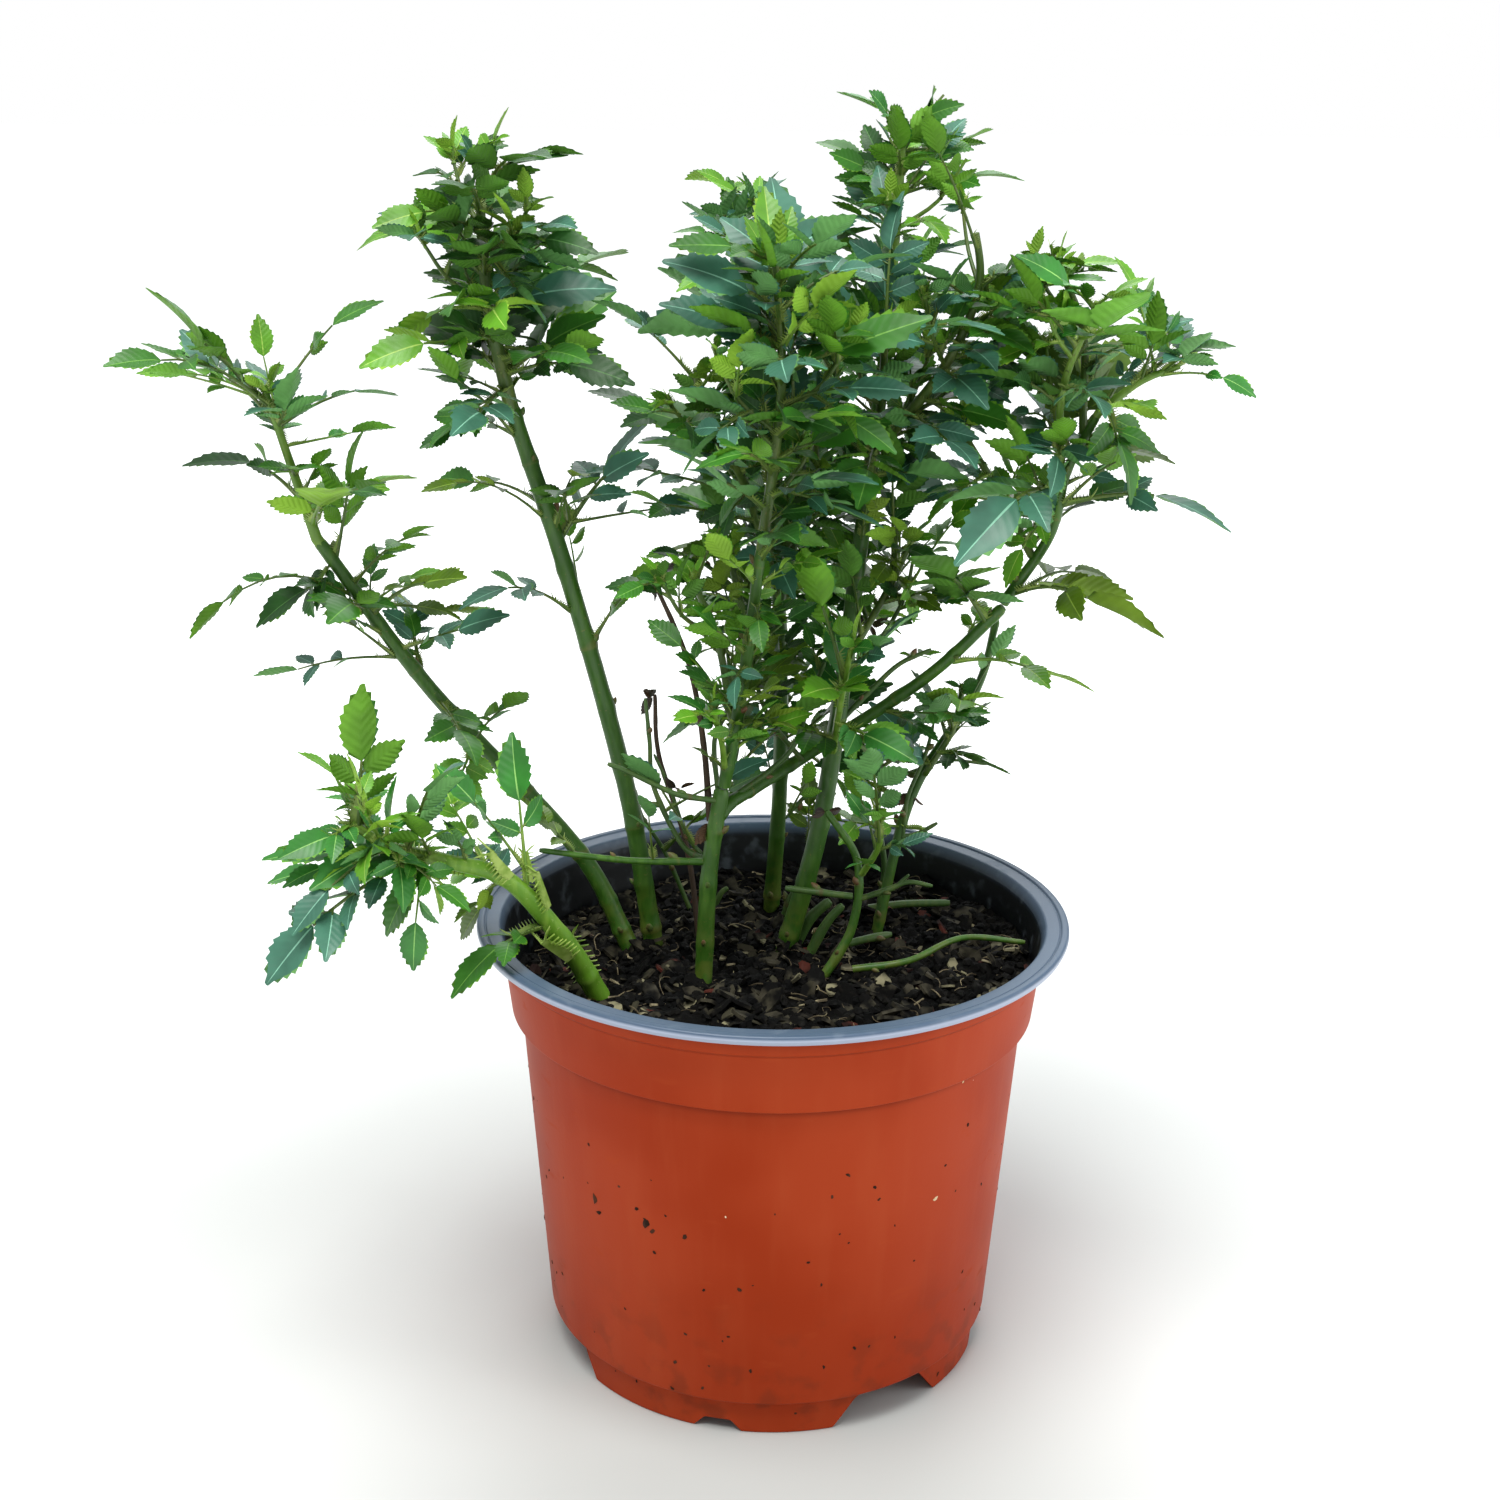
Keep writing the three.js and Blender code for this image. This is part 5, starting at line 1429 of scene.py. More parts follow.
def growLong(stem, leaf, palette, youth):  # from a little below the height of its tip
    seatHeight = leaf[0][2] - habit["below"]
    share = min([i / 10 for i in range(1, 10)], key=lambda share: abs(stem.at(share).z - seatHeight))
    growTo(stem.at(share), leaf, palette, share, diceFor(leaf), youth)


def growShoot(this, youth):
    dice = Dice(this["seed"])
    for leaf in this["long"]:
        growLong(this["stem"], leaf, this["palette"], youth)
    for i in range(this["leaves"]):
        share = (i + 0.6) / this["leaves"]
        growLeafRound(this["stem"], share, (i + this["seed"]) * habit["turn"], this, dice)
    growTip(this, dice)
    growTwiglets(this, dice)


def growTwiglets(this, dice):  # the finer twigs that a full shoot carries
    count = (this["leaves"] >= twiglets["least"]) * 2 + (this["leaves"] >= twiglets["many"]) * 2
    for i in range(count):
        share = between(twiglets["places"], (i + dice.roll(0.2, 0.8)) / count)
        seat, axis = this["stem"].at(share), this["stem"].tangent(share)
        outward = turned(axis, math.radians(i * habit["turn"] + dice.roll(0, 90)))
        length = this["length"] * dice.roll(*twiglets["length"])
        start = (axis + outward * twiglets["lean"]).normalized()
        middle = seat + start * length / 2
        tip = middle + (start + up * twiglets["upturn"]).normalized() * length / 2
        stem = Curve([seat, middle, tip])
        twig = {**this, "stem": stem, "size": this["size"] * twiglets["size"],
                "length": this["length"] * twiglets["leafLength"]}
        thicket.addLimb(stem, twiglets["radii"])
        addStem([stem.at(k / 8) for k in range(9)], [between(twiglets["radii"], k / 8) for k in range(9)],
                this["palette"])
        for k in range(twiglets["leaves"]):
            growLeafRound(stem, (k + 0.8) / twiglets["leaves"], (k + i) * habit["turn"], twig, dice)
        growTip(twig, dice)


# One leaf of a shoot. It turns round the stem, a few times at most, to where most of its leaflets have room.
def growLeafRound(stem, share, degrees, this, dice, radius=0.0):
    seat, axis = stem.at(share), stem.tangent(share)
    first = Vector((1, 0, 0)).cross(axis).normalized()
    second = axis.cross(first)
    lean = math.radians(dice.roll(*habit["lean"]) - habit["uprightAtTip"] * share)
    smaller = 1 - habit["smallerAtTip"] * share
    reach = this["length"] * dice.roll(*habit["reach"]) * smaller
    droop = dice.roll(*habit["droop"])
    pairs = 3 if dice.roll(0, 1) < habit["threePairs"] else 2
    best, most = None, 0
    for attempt in range(habit["tries"]):
        angle = math.radians(degrees + habit["nextTry"] * attempt)
        outward = first * math.cos(angle) + second * math.sin(angle)
        start = axis * math.cos(lean) + outward * math.sin(lean)
        end = (start - up * droop + outward * habit["outward"]).normalized()
        root = seat + outward * radius
        middle = root + start * reach / 2
        plan = planLeaf(root, middle, middle + end * reach / 2, pairs, this["size"] * smaller, dice)
        fitting = sum(thicket.hasRoom(blade) for blade in plan["blades"])
        if fitting > most:
            best, most = plan, fitting
        if fitting == len(plan["blades"]):
            break
    if best:
        grow(best, toneFor(this["palette"], share, dice))


def growTip(this, dice):  # the tuft of small upright leaves that a shoot ends in
    seat, axis = this["stem"].at(0.97), this["stem"].tangent(1)
    for i in range(tuft["leaves"]):
        outward = turned(axis, math.radians(i * habit["turn"] + this["seed"] * 17))
        reach = this["length"] * tuft["length"] * dice.roll(*tuft["reach"]) * (1 - tuft["shorter"] * i)
        lean = math.radians(dice.roll(*tuft["lean"]))
        start = axis * math.cos(lean) + outward * math.sin(lean)
        tip = seat + start * reach * 0.6 + (start + outward * 0.5).normalized() * reach * 0.4
        plan = planLeaf(seat, seat + start * reach * 0.55, tip, 2, this["size"] * tuft["size"], dice)
        grow(plan, "young" if dice.roll(0, 1) < tuft["young"] else toneFor(this["palette"], 1, dice))


# Small leaves straight from the boughs: from and to which share of the limb, how many, length, size, palette
# and seed.
boughLeaves = {
    "front_bough": (0.12, 0.95, 16, 20, 9, "olive", 5), "right_bough": (0.3, 0.9, 6, 16, 8, "olive", 14),
    "back_cane": (0.35, 0.85, 12, 22, 9, "olive", 21),
    "tall_right_cane": (0.5, 0.95, 10, 22, 10, "green", 33),
    "upper_right_bough": (0.3, 0.95, 5, 22, 11, "green", 41),
    "inner_twig_1": (0.4, 1, 4, 13, 7, "olive", 51), "inner_twig_2": (0.4, 1, 4, 13, 7, "olive", 52),
    "inner_twig_3": (0.4, 1, 4, 13, 7, "olive", 53), "inner_twig_4": (0.4, 1, 4, 13, 7, "green", 54),
    "inner_twig_5": (0.4, 1, 4, 14, 8, "green", 55), "inner_twig_6": (0.3, 1, 5, 14, 8, "olive", 56),
    "inner_twig_7": (0.3, 1, 5, 14, 8, "green", 57), "bough_twig": (0.4, 1, 4, 13, 7, "olive", 58),
    "back_twig_5": (0.5, 1, 4, 14, 8, "green", 60),
}


def growBoughLeaves(name, low, high, count, length, size, palette, seed):
    curve, radii = limbs[name]
    this = {"palette": palette, "length": length, "size": size}
    dice = Dice(seed)
    for i in range(count):
        share = between((low, high), (i + 0.5) / count)
        growLeafRound(curve, share, (i + seed) * habit["turn"], this, dice, between(radii, share))


# Given leaves that fill the crown out: limb or shoot, share of its length, and the leaf.
moreLeaves = [
    ("tall_left_crown", 0.05, (-83, -12, 234), 0, 2, 8),
    ("right_centre_crown", 0.85, (30, -15, 308), 6, 3, 10), ("left_cane", 0.85, (-102, 21, 205), 0, 1, 8),
    ("left_cane", 0.7, (-96, 25, 190), 8, 2, 10), ("left_crown", 0.85, (-145, 11, 254), 6, 3, 13),
    ("young_crown", 0.2, (-78, -31, 127), 2, 3, 8), ("sprout_leaves", 0.65, (22, -26, 167), 8, 2, 13),
    ("tall_left_cane", 0.95, (-79, 1, 245), 0, 2, 8), ("split_twig_2", 0.4, (-2, -6, 157), 2, 1, 10),
    ("tall_right_cane", 0.25, (9, 16, 148), 2, 2, 9), ("inner_twig_5", 0.75, (51, 25, 218), 6, 3, 10),
    ("tall_left_crown", 0.05, (-81, -14, 234), 4, 3, 10),
    ("back_low_shoot", 0.15, (-20, 51, 218), 2, 2, 11),
    ("centre_left_crown", 0.9, (-42, -2, 269), 4, 2, 12), ("back_cane", 0.25, (-6, 50, 153), 8, 3, 9),
    ("upper_right_bough", 0.5, (53, -4, 203), 0, 2, 9), ("young_shoot", 0.6, (-83, -15, 143), 2, 3, 12),
    ("young_shoot", 0.8, (-83, -18, 158), 2, 2, 10), ("inner_twig_1", 0.2, (15, -5, 175), 6, 3, 13),
    ("tall_right_crown", 0.8, (41, 14, 305), 4, 2, 8), ("young_shoot", 0.7, (-81, -17, 132), 0, 3, 10),
    ("tall_left_cane", 0.95, (-82, -11, 254), 6, 2, 10), ("left_cane", 0.95, (-111, 2, 194), 4, 2, 8),
    ("inner_twig_3", 0.6, (8, 25, 183), 6, 2, 10), ("back_crown", 0.95, (-22, 48, 295), 6, 2, 10),
    ("back_cane", 0.35, (28, 30, 165), 8, 3, 13), ("inner_shoot_3", 0.65, (27, 6, 236), 8, 3, 13),
    ("young_crown", 0.55, (-71, -50, 132), 6, 2, 9), ("back_right_leaves", 0.75, (72, 37, 167), 8, 2, 13),
    ("inner_twig_7", 0.9, (10, 40, 247), 2, 2, 13), ("left_cane", 0.75, (-117, 1, 198), 2, 1, 12),
    ("tall_left_crown", 0.2, (-42, 1, 256), 0, 1, 9), ("sprout_leaves", 0.95, (16, 1, 160), 6, 1, 8),
    ("tall_left_crown", 0.4, (-47, 1, 283), 8, 3, 10),
    ("tall_right_front_shoot", 0.4, (2, 13, 257), 2, 2, 9),
    ("young_crown", 0.55, (-111, -56, 131), 4, 1, 12), ("inner_shoot_3", 0.4, (56, 16, 201), 0, 2, 15),
    ("tall_left_crown", 0.15, (-40, -14, 262), 0, 1, 11),
    ("tall_left_crown", 0.35, (-92, 2, 258), 6, 3, 11), ("left_cane", 0.8, (-112, -8, 197), 2, 2, 8),
    ("young_crown", 0.45, (-122, -26, 129), 4, 3, 13), ("inner_twig_3", 0.3, (-29, 11, 159), 8, 3, 11),
    ("tall_right_low_shoot", 0.75, (5, -15, 209), 8, 3, 16),
    ("bough_shoot", 0.05, (86, 15, 222), 8, 1, 12), ("right_bough", 0.55, (53, -1, 169), 0, 3, 9),
    ("inner_shoot_1", 0.95, (-18, 20, 226), 2, 3, 11), ("tall_left_crown", 0.6, (-102, 13, 282), 4, 3, 14),
    ("left_cane", 0.9, (-82, -9, 215), 6, 3, 10), ("inner_twig_5", 0.6, (60, 1, 197), 4, 2, 11),
    ("low_twig", 0.35, (-31, -22, 156), 0, 1, 9), ("tall_right_cane", 0.7, (27, 19, 223), 4, 2, 8),
    ("left_crown", 0.8, (-125, 8, 262), 2, 1, 9), ("upper_right_bough", 0.6, (82, 8, 228), 2, 2, 8),
    ("left_crown", 0.95, (-145, -13, 251), 6, 2, 9), ("upper_right_bough", 0.5, (88, -12, 235), 8, 2, 13),
    ("left_crown", 0.85, (-135, -6, 262), 0, 1, 9), ("left_cane", 0.95, (-110, -1, 232), 6, 2, 9),
    ("left_crown", 0.7, (-91, 0, 239), 0, 1, 10), ("back_crown", 0.35, (-14, 41, 294), 2, 3, 9),
    ("young_crown", 0.8, (-107, -40, 170), 4, 2, 8), ("back_right_leaves", 0.4, (56, 29, 160), 4, 2, 8),
    ("right_crown", 0.7, (80, 6, 276), 8, 2, 9), ("sprout_leaves", 0.45, (18, -11, 153), 8, 2, 8),
    ("right_upright_shoot", 0.25, (56, 11, 238), 8, 3, 8), ("young_shoot", 0.7, (-74, -31, 115), 8, 3, 10),
    ("tall_left_crown", 0.5, (-92, 2, 289), 4, 2, 9), ("tall_left_crown", 0.6, (-43, -20, 282), 4, 3, 12),
    ("back_right_leaves", 0.1, (11, 16, 148), 4, 2, 11), ("left_crown", 0.4, (-106, -6, 232), 4, 2, 8),
    ("tall_left_cane", 0.6, (-53, 14, 214), 8, 2, 8), ("young_crown", 0.3, (-74, -50, 172), 6, 3, 14),
    ("tall_right_crown", 0.9, (52, 41, 305), 0, 3, 9), ("split_twig_3", 0.2, (-35, -11, 163), 2, 2, 13),
    ("tall_left_cane", 0.8, (-84, 22, 218), 8, 1, 11), ("centre_left_crown", 0.6, (-23, 0, 251), 6, 2, 8),
    ("back_twig_2", 0.65, (5, 21, 134), 0, 3, 12), ("tall_left_crown", 0.8, (-91, -18, 287), 0, 2, 11),
    ("tall_right_crown", 0.7, (45, 37, 306), 6, 2, 9), ("inner_twig_6", 0.85, (-35, 40, 197), 6, 2, 8),
    ("inner_shoot_2", 0.05, (-30, -1, 189), 8, 1, 10), ("right_top_shoot", 0.85, (78, 1, 277), 0, 2, 8),
    ("right_centre_crown", 0.7, (55, 19, 240), 8, 3, 13), ("young_crown", 0.15, (-85, -47, 118), 0, 1, 11),
    ("upper_right_bough", 0.4, (53, -9, 241), 6, 3, 12),
    ("tall_right_crown", 0.65, (10, 37, 304), 6, 2, 13), ("left_cane", 0.85, (-83, 7, 203), 2, 2, 8),
    ("left_crown", 0.95, (-147, 8, 256), 0, 2, 9), ("tall_left_crown", 0.95, (-45, -10, 303), 0, 2, 11),
    ("tall_left_crown", 0.05, (-60, 11, 250), 2, 1, 8),
    ("centre_left_crown", 0.55, (-47, 22, 244), 2, 2, 15),
    ("tall_left_crown", 0.05, (-85, 1, 250), 4, 2, 8), ("left_crown", 0.7, (-128, 15, 252), 4, 2, 10),
    ("left_cane", 0.85, (-110, 3, 198), 2, 2, 8), ("left_cane", 0.9, (-90, 7, 208), 4, 2, 8),
    ("back_twig_1", 0.85, (10, -5, 157), 0, 1, 8), ("back_right_cane", 0.6, (60, 17, 187), 2, 2, 10),
    ("right_crown", 0.8, (110, -11, 250), 4, 1, 8), ("inner_shoot_3", 0.65, (36, 14, 187), 6, 3, 8),
    ("centre_left_crown", 0.9, (-33, -6, 273), 6, 2, 10), ("right_crown", 0.45, (114, 5, 254), 6, 2, 11),
    ("right_crown", 0.1, (88, 4, 258), 4, 2, 8), ("left_cane", 0.7, (-93, 20, 189), 2, 2, 8),
    ("tall_right_crown", 0.5, (12, 15, 290), 2, 1, 8),
    ("tall_left_crown", 0.25, (-96, -15, 258), 0, 2, 14), ("split_twig_1", 0.35, (-4, 20, 147), 4, 3, 12),
    ("tall_right_crown", 0.7, (44, 25, 306), 0, 3, 9),
    ("tall_left_crown", 0.55, (-81, -16, 295), 2, 2, 10),
    ("tall_left_cane", 0.75, (-46, -12, 230), 8, 2, 9), ("tall_right_cane", 0.55, (6, 15, 194), 2, 1, 8),
    ("young_shoot", 0.9, (-75, -41, 154), 0, 3, 8), ("left_crown", 0.95, (-151, -2, 252), 2, 2, 10),
    ("back_crown", 0.4, (21, 21, 287), 0, 2, 13), ("inner_shoot_4", 0.05, (31, 42, 213), 4, 2, 13),
    ("front_bough", 0.1, (-24, -17, 163), 4, 2, 8), ("front_bough", 0.25, (4, -20, 172), 4, 2, 8),
    ("front_bough", 0.4, (-22, -23, 184), 4, 3, 8), ("front_bough", 0.5, (2, -27, 190), 3, 2, 9),
    ("front_bough", 0.62, (-20, -26, 197), 4, 3, 9), ("front_bough", 0.75, (7, -29, 204), 3, 3, 9),
    ("front_bough", 0.88, (-18, -29, 215), 4, 3, 10), ("front_bough", 0.97, (4, -33, 222), 3, 2, 11),
    ("front_bough", 0.33, (-12, -24, 163), 5, 2, 7), ("front_bough", 0.56, (-11, -28, 178), 6, 2, 8),
    ("front_bough", 0.8, (-4, -32, 192), 6, 2, 8),
]


def growMore(name, share, *leaf):
    if name in limbs:
        curve, radii = limbs[name]
        palette = "green"
    else:
        curve, radii, palette = (shoots[name][key] for key in ("stem", "radii", "palette"))
    dice = Dice(round(share * 100) + leaf[0][0] + 1000)
    growTo(beside(curve, radii, share, leaf[0]), leaf, palette, share, dice)


# Leaves that have dropped, by their number.
shed = (
    4, 37, 42, 45, 60, 62, 63, 68, 73, 75, 76, 80, 81, 83, 84, 85, 86, 87, 88, 89, 92, 96, 98, 104, 106,
    109, 116, 117, 124, 153, 173, 174, 175, 177, 193, 194, 195, 196, 209, 211, 212, 213, 214, 215, 216,
    221, 227, 230, 231, 232, 241, 242, 243, 244, 245, 261, 271, 305, 308, 311, 313, 321, 328, 329, 330,
    331, 334, 337, 338, 340, 342, 343, 345, 350, 353, 358, 359, 363, 368, 373, 374, 375, 378, 392, 393,
    395, 396, 401, 434, 437, 439, 441, 442, 443, 444, 446, 451, 452, 454, 455, 456, 462, 463, 464, 465,
    466, 476, 478, 479, 480, 481, 482, 483, 484, 485, 488, 500, 504, 530, 539, 544, 547, 548, 549, 550,
    551, 552, 553, 554, 555, 556, 557, 570, 577, 584, 585, 586, 587, 595, 598, 599, 600, 605, 606, 608,
    611, 614, 616, 617, 618, 619, 620, 621, 622, 626, 631, 634, 635, 636, 638, 642, 644, 646, 650, 651,
    654, 655, 658, 660, 661, 662, 663, 664, 665, 666, 670, 671, 672, 673, 674, 675, 676, 677, 679, 681,
    682, 684, 685, 690, 691, 693, 695, 696, 698, 704, 706, 707, 708, 710, 717, 720, 735, 737, 738, 740,
    743, 754, 756, 758, 761, 763, 768, 769, 774, 776, 780, 781, 796, 799, 805, 806, 807, 816, 819, 822,
    823, 825, 829, 840, 876, 904, 946, 947,
)


leafReach = 3  # how near a stem's point is to the root of a leaf on it


def shedLeaves():  # a shoot's stem then ends just past the last leaf that is left on it
    for kind, parts in grownLeaves.items():
        grownLeaves[kind] = [part for part in parts if part.get("leaf") not in shed]
    roots = np.array([tuple(part["points"][0]) for part in grownLeaves["stems"] if "leaf" in part])
    for part in grownLeaves["stems"]:
        if "leaf" not in part:
            away = [np.linalg.norm(roots - np.array(point), axis=1).min() for point in part["points"]]
            count = max((i for i, distance in enumerate(away) if distance < leafReach), default=0) + 2
            part["points"], part["radii"] = part["points"][:count], part["radii"][:count]


largeSheaths = {"places": (0.1, 0.3, 0.5, 0.68, 0.86), "length": 15, "lean": 0.3, "first": 60, "turn": 137.5}


def growLargeSheaths():  # the wide fringed sheaths that clasp the young shoot
    curve, radii = limbs["young_shoot"]
    for i, share in enumerate(largeSheaths["places"]):
        tangent = curve.tangent(share)
        outward = turned(tangent, math.radians(largeSheaths["first"] + i * largeSheaths["turn"]))
        grownLeaves["sheaths"].append({
            "root": curve.at(share) + outward * between(radii, share) * 0.9,
            "along": (tangent + outward * largeSheaths["lean"]).normalized(), "face": -outward,
            "length": largeSheaths["length"] * (1 - 0.3 * share), "kind": 0, "soft": True})


# Withered scraps that hang on dead and broken twigs: place, how many and size.
witheredSpots = [
    ((-31, 5, 202), 7, 9), ((-30, 3, 172), 3, 6), ((-24, -6, 150), 3, 6), ((-16, -6, 142), 4, 7),
    ((24, 22, 186), 4, 8), ((36, 21, 141), 3, 6), ((13, -3, 144), 3, 5),
]


def growWithered():
    dice = Dice(77)
    for centre, count, size in witheredSpots:
        for _ in range(count):
            along = Vector((dice.roll(-1, 1), dice.roll(-1, 1), dice.roll(-1.4, 0.7))).normalized()
            face = along.orthogonal().normalized()
            face = Matrix.Rotation(dice.roll(0, 6.28), 3, along) @ face
            grownLeaves["blades"].append({
                "root": Vector(centre) + along * dice.roll(0.2, 1.2), "along": along, "face": face,
                "length": size * dice.roll(0.55, 1.0), "kind": int(dice.roll(0, 5.9)), "tone": "withered"})


# The three materials of a leaflet: which colour of its tone, roughness, sheen, depth of the veins and coat.
leafLooks = {
    "Upper face": ("top", 0.4, 0.5, 0.000022, 0.1),
    "Underside": ("under", 0.55, 0.3, 0.00007, 0.0),
    "Rib": ("rib", 0.45, 0.4, 0.00004, 0.0),
}


def describeLeaf(colour, rough, sheen, veins, coat):
    def describe(g):
        where = g.place()
        place = g.node("ShaderNodeAttribute", {"attribute_name": "place"}, output="Vector")
        parts = g.part(place, "X")
        slant = parts - 0.85 * g.node("ShaderNodeMath", {"operation": "ABSOLUTE"}, {0: parts.out("Y")})
        phase = slant * (2 * math.pi * leafletShape["teeth"])
        vein = g.node("ShaderNodeMath", {"operation": "SINE"}, {0: phase})
        patch = g.mask(g.cloud(where, 0.009, 2.0), 0.3, 0.7)
        base = paint(colour)
        deep = tuple(v * 0.8 for v in base[:3]) + (1.0,)
        light = tuple(min(1, v * 1.25) for v in base[:3]) + (1.0,)
        return {
            "Base Color": g.mix(patch, deep, light),
            "Roughness": rough + 0.1 * g.cloud(where, 0.003, 2.0),
            "Specular IOR Level": sheen,
            "Coat Weight": coat,
            "Coat Roughness": 0.3,
            "Normal": g.bump(vein + 0.5 * g.cloud(where, 0.0009, 2.0), veins, 0.8),
        }
    return describe


def makeLeaves():
    tree = makeSettingTree()
    shapes = makeLeafletShapes()
    pieces = {}
    for tone, look in tones.items():
        chosen = [blade for blade in grownLeaves["blades"] if blade["tone"] == tone]
        values = {"Shapes": shapes}
        for part, (colour, *rest) in leafLooks.items():
            values[part] = makeMaterial(f"{tone} leaf {colour}", describeLeaf(look[colour], *rest))
        pieces[tone] = grown(f"{tone}Leaflets", pointBase(tone, chosen), tree, values)
    remove(*shapes.objects)
    return pieces


# The winged sheath at a leaf's root, with its comb of bristles.
sheath = {"teeth": 8, "tooth": 0.12, "ear": 0.28, "cup": 0.9, "thickness": 0.03}


def drawSheath(_):
    points, faces = [], []

    def spot(x, y):
        points.append((x * 1000, y * 1000, (sheath["cup"] * abs(y) - 0.05) * 1000))
        return len(points) - 1

    middle = [spot(x / 5, 0) for x in range(5)]
    for side in (-1, 1):
        edge = [spot(x / 5, side * width) for x, width in enumerate((0.13, 0.16, 0.15, 0.12, 0.1))]
        for i in range(4):
            faces.append((middle[i], middle[i + 1], edge[i + 1], edge[i]))
        ear = [spot(0.92, side * 0.16), spot(1.0, side * sheath["ear"]), spot(0.78, side * 0.04)]
        faces.append((middle[4], ear[2], ear[0], edge[4]))
        faces.append((edge[4], ear[0], ear[1]))
        for i in range(sheath["teeth"]):
            share = (i + 0.5) / sheath["teeth"]
            place = share * 4
            low = int(place)
            ends = (points[edge[low]], points[edge[min(low + 1, 4)]])
            x = (ends[0][0] + (ends[1][0] - ends[0][0]) * (place - low)) / 1000
            y = abs(ends[0][1] + (ends[1][1] - ends[0][1]) * (place - low)) / 1000
            faces.append((spot(x - 0.02, side * (y - 0.02)), spot(x + 0.02, side * (y - 0.02)),
                          spot(x + 0.015, side * (y + sheath["tooth"]))))
    return points, faces


def drawBristle(_):
    points = [(0, 120, 0), (0, -60, 104), (0, -60, -104), (1000, 0, 180)]
    return points, [(0, 1, 2), (0, 1, 3), (1, 2, 3), (2, 0, 3)]


def drawBud(_):
    points = [Vector((1000 * share, 0, 0)) for share in (-0.15, 0.15, 0.5, 0.8, 1.0)]
    return tube(points, [260, 380, 330, 180, 20], 6)


def describeSmallPart(colour, second):
    def describe(g):
        where = g.place()
        blotch = g.mask(g.cloud(where, 0.004, 3.0), 0.35, 0.65)
        return {
            "Base Color": g.mix(blotch, paint(colour), paint(second)),
            "Roughness": 0.5 + 0.1 * g.cloud(where, 0.002, 2.0),
            "Normal": g.bump(g.cloud(where, 0.0008, 2.0), 0.00006, 0.5),
        }
    return describe


def makeSmallParts(buds):
    tree = makeSettingTree()
    sheaths = grownLeaves["sheaths"]
    budPoints = []
    for root, along, strength in buds:
        face = along.orthogonal().normalized()
        budPoints.append({"root": root, "along": along, "face": face, "length": 2.3 * strength, "kind": 0})
    young, firm = ([one for one in sheaths if one["soft"] is soft] for soft in (True, False))
    thick = {"thick": 1000 * sheath["thickness"]}
    parts = {
        "youngSheaths": (drawSheath, thick, young, ("75962e", "a3ba5e")),
        "leafSheaths": (drawSheath, thick, firm, ("5f7d2c", "86984a")),
        "bristles": (drawBristle, {}, grownLeaves["bristles"], ("7d8a48", "6b5a30")),
        "sleepingBuds": (drawBud, {"smooth": 60}, budPoints, ("4c6a28", "6b4a30")),
    }
    pieces = {}
    for name, (draw, finish, points, colours) in parts.items():
        shapes = shapeSet(name, 1, 0, draw, **finish)
        material = makeMaterial(name, describeSmallPart(*colours))
        pieces[name] = grown(name, pointBase(name, points), tree, {"Shapes": shapes, "Upper face": material})
        remove(*shapes.objects)
    return pieces


def makeStems():
    tree = makeStemTree()
    looks = {True: ("softStems", "5f8526", "86a344"), False: ("leafStems", "44601f", "6c7a34")}
    pieces = {}
    for soft, (name, first, second) in looks.items():
        lines = [stem for stem in grownLeaves["stems"] if stem["soft"] == soft]
        material = makeMaterial(name, describeBark(first, second, "75683c"))
        pieces[name] = grown(name, lineBase(name, lines), tree, {"Sides": 6, "Finish": material})
    return pieces


# Bits of dirt that stick to the outside of the pot: angle round it, height and size.
dirt = {
    "smudges": [
        (-134, 57.9, 2.1), (-133, 54.5, 1.4), (-119, 56.7, 2.6), (-117.5, 55.2, 1.6), (-109.4, 55.8, 1.3),
        (-73.5, 73.9, 1.1), (-109.6, 3.2, 1.3), (-97, 42.9, 1.1), (-113, 18.9, 1.2), (-41.4, 9.8, 2.2),
        (-126, 64.7, 0.9), (-114, 60.5, 0.8), (-104, 5.5, 1.0), (-164, 71.0, 1.4), (60, 40, 1.6),
        (140, 66, 1.4),
    ],
    "pale": [(-50.1, 60.7, 1.3), (-44.9, 90.8, 0.7), (-41.2, 89.8, 0.5), (-100, 63, 0.5)],
    "count": 150, "heights": (2, 86), "sizes": (0.396, 1.21), "seed": 5, "shapes": 4,
    "looks": {"dirtSpecks": ("26160d", "4a2a1a", 0.85), "paleCrumbs": ("cdb48c", "e4d3b4", 0.85)},
}


def drawSpeck(dice):
    return drawLump(dice, 1, (900, 560, 220), ((0.6, 1.4), (0.6, 1.3), (0.6, 1.2)))


def makeDirt():
    dice = Dice(dirt["seed"])
    spots = {"dirtSpecks": list(dirt["smudges"]), "paleCrumbs": dirt["pale"]}
    for _ in range(dirt["count"]):
        height = between(dirt["heights"], dice.roll(0, 1) ** 1.7)
        spots["dirtSpecks"].append((dice.roll(-180, 180), height, dice.roll(*dirt["sizes"])))
    pieces = []
    for name, look in dirt["looks"].items():
        bits = []
        for angle, height, size in spots[name]:
            if inGap(angle, height):
                continue
            turn = math.radians(angle)
            out = Vector((math.cos(turn), math.sin(turn), 0))
            level = Vector((-out.y, out.x, 0))
            radius = (wallInside(height) + pot["wall"]) if height > pot["bodyFoot"][1] else pot["footRadius"]
            along = (level * dice.roll(-1, 1) + up * dice.roll(-1, 1)).normalized()
            bits.append({"root": out * (radius + 0.02) + up * height, "along": along, "face": out,
                         "length": size / 1.35, "kind": int(dice.roll(0, dirt["shapes"] - 0.1))})
        shapes = shapeSet("speck", dirt["shapes"], 160, drawSpeck)
        material = makeMaterial(name, describeLitter(*look))
        values = {"Shapes": shapes, "Upper face": material}
        pieces.append(grown(name, pointBase(name, bits), makeSettingTree(), values))
        remove(*shapes.objects)
    return pieces


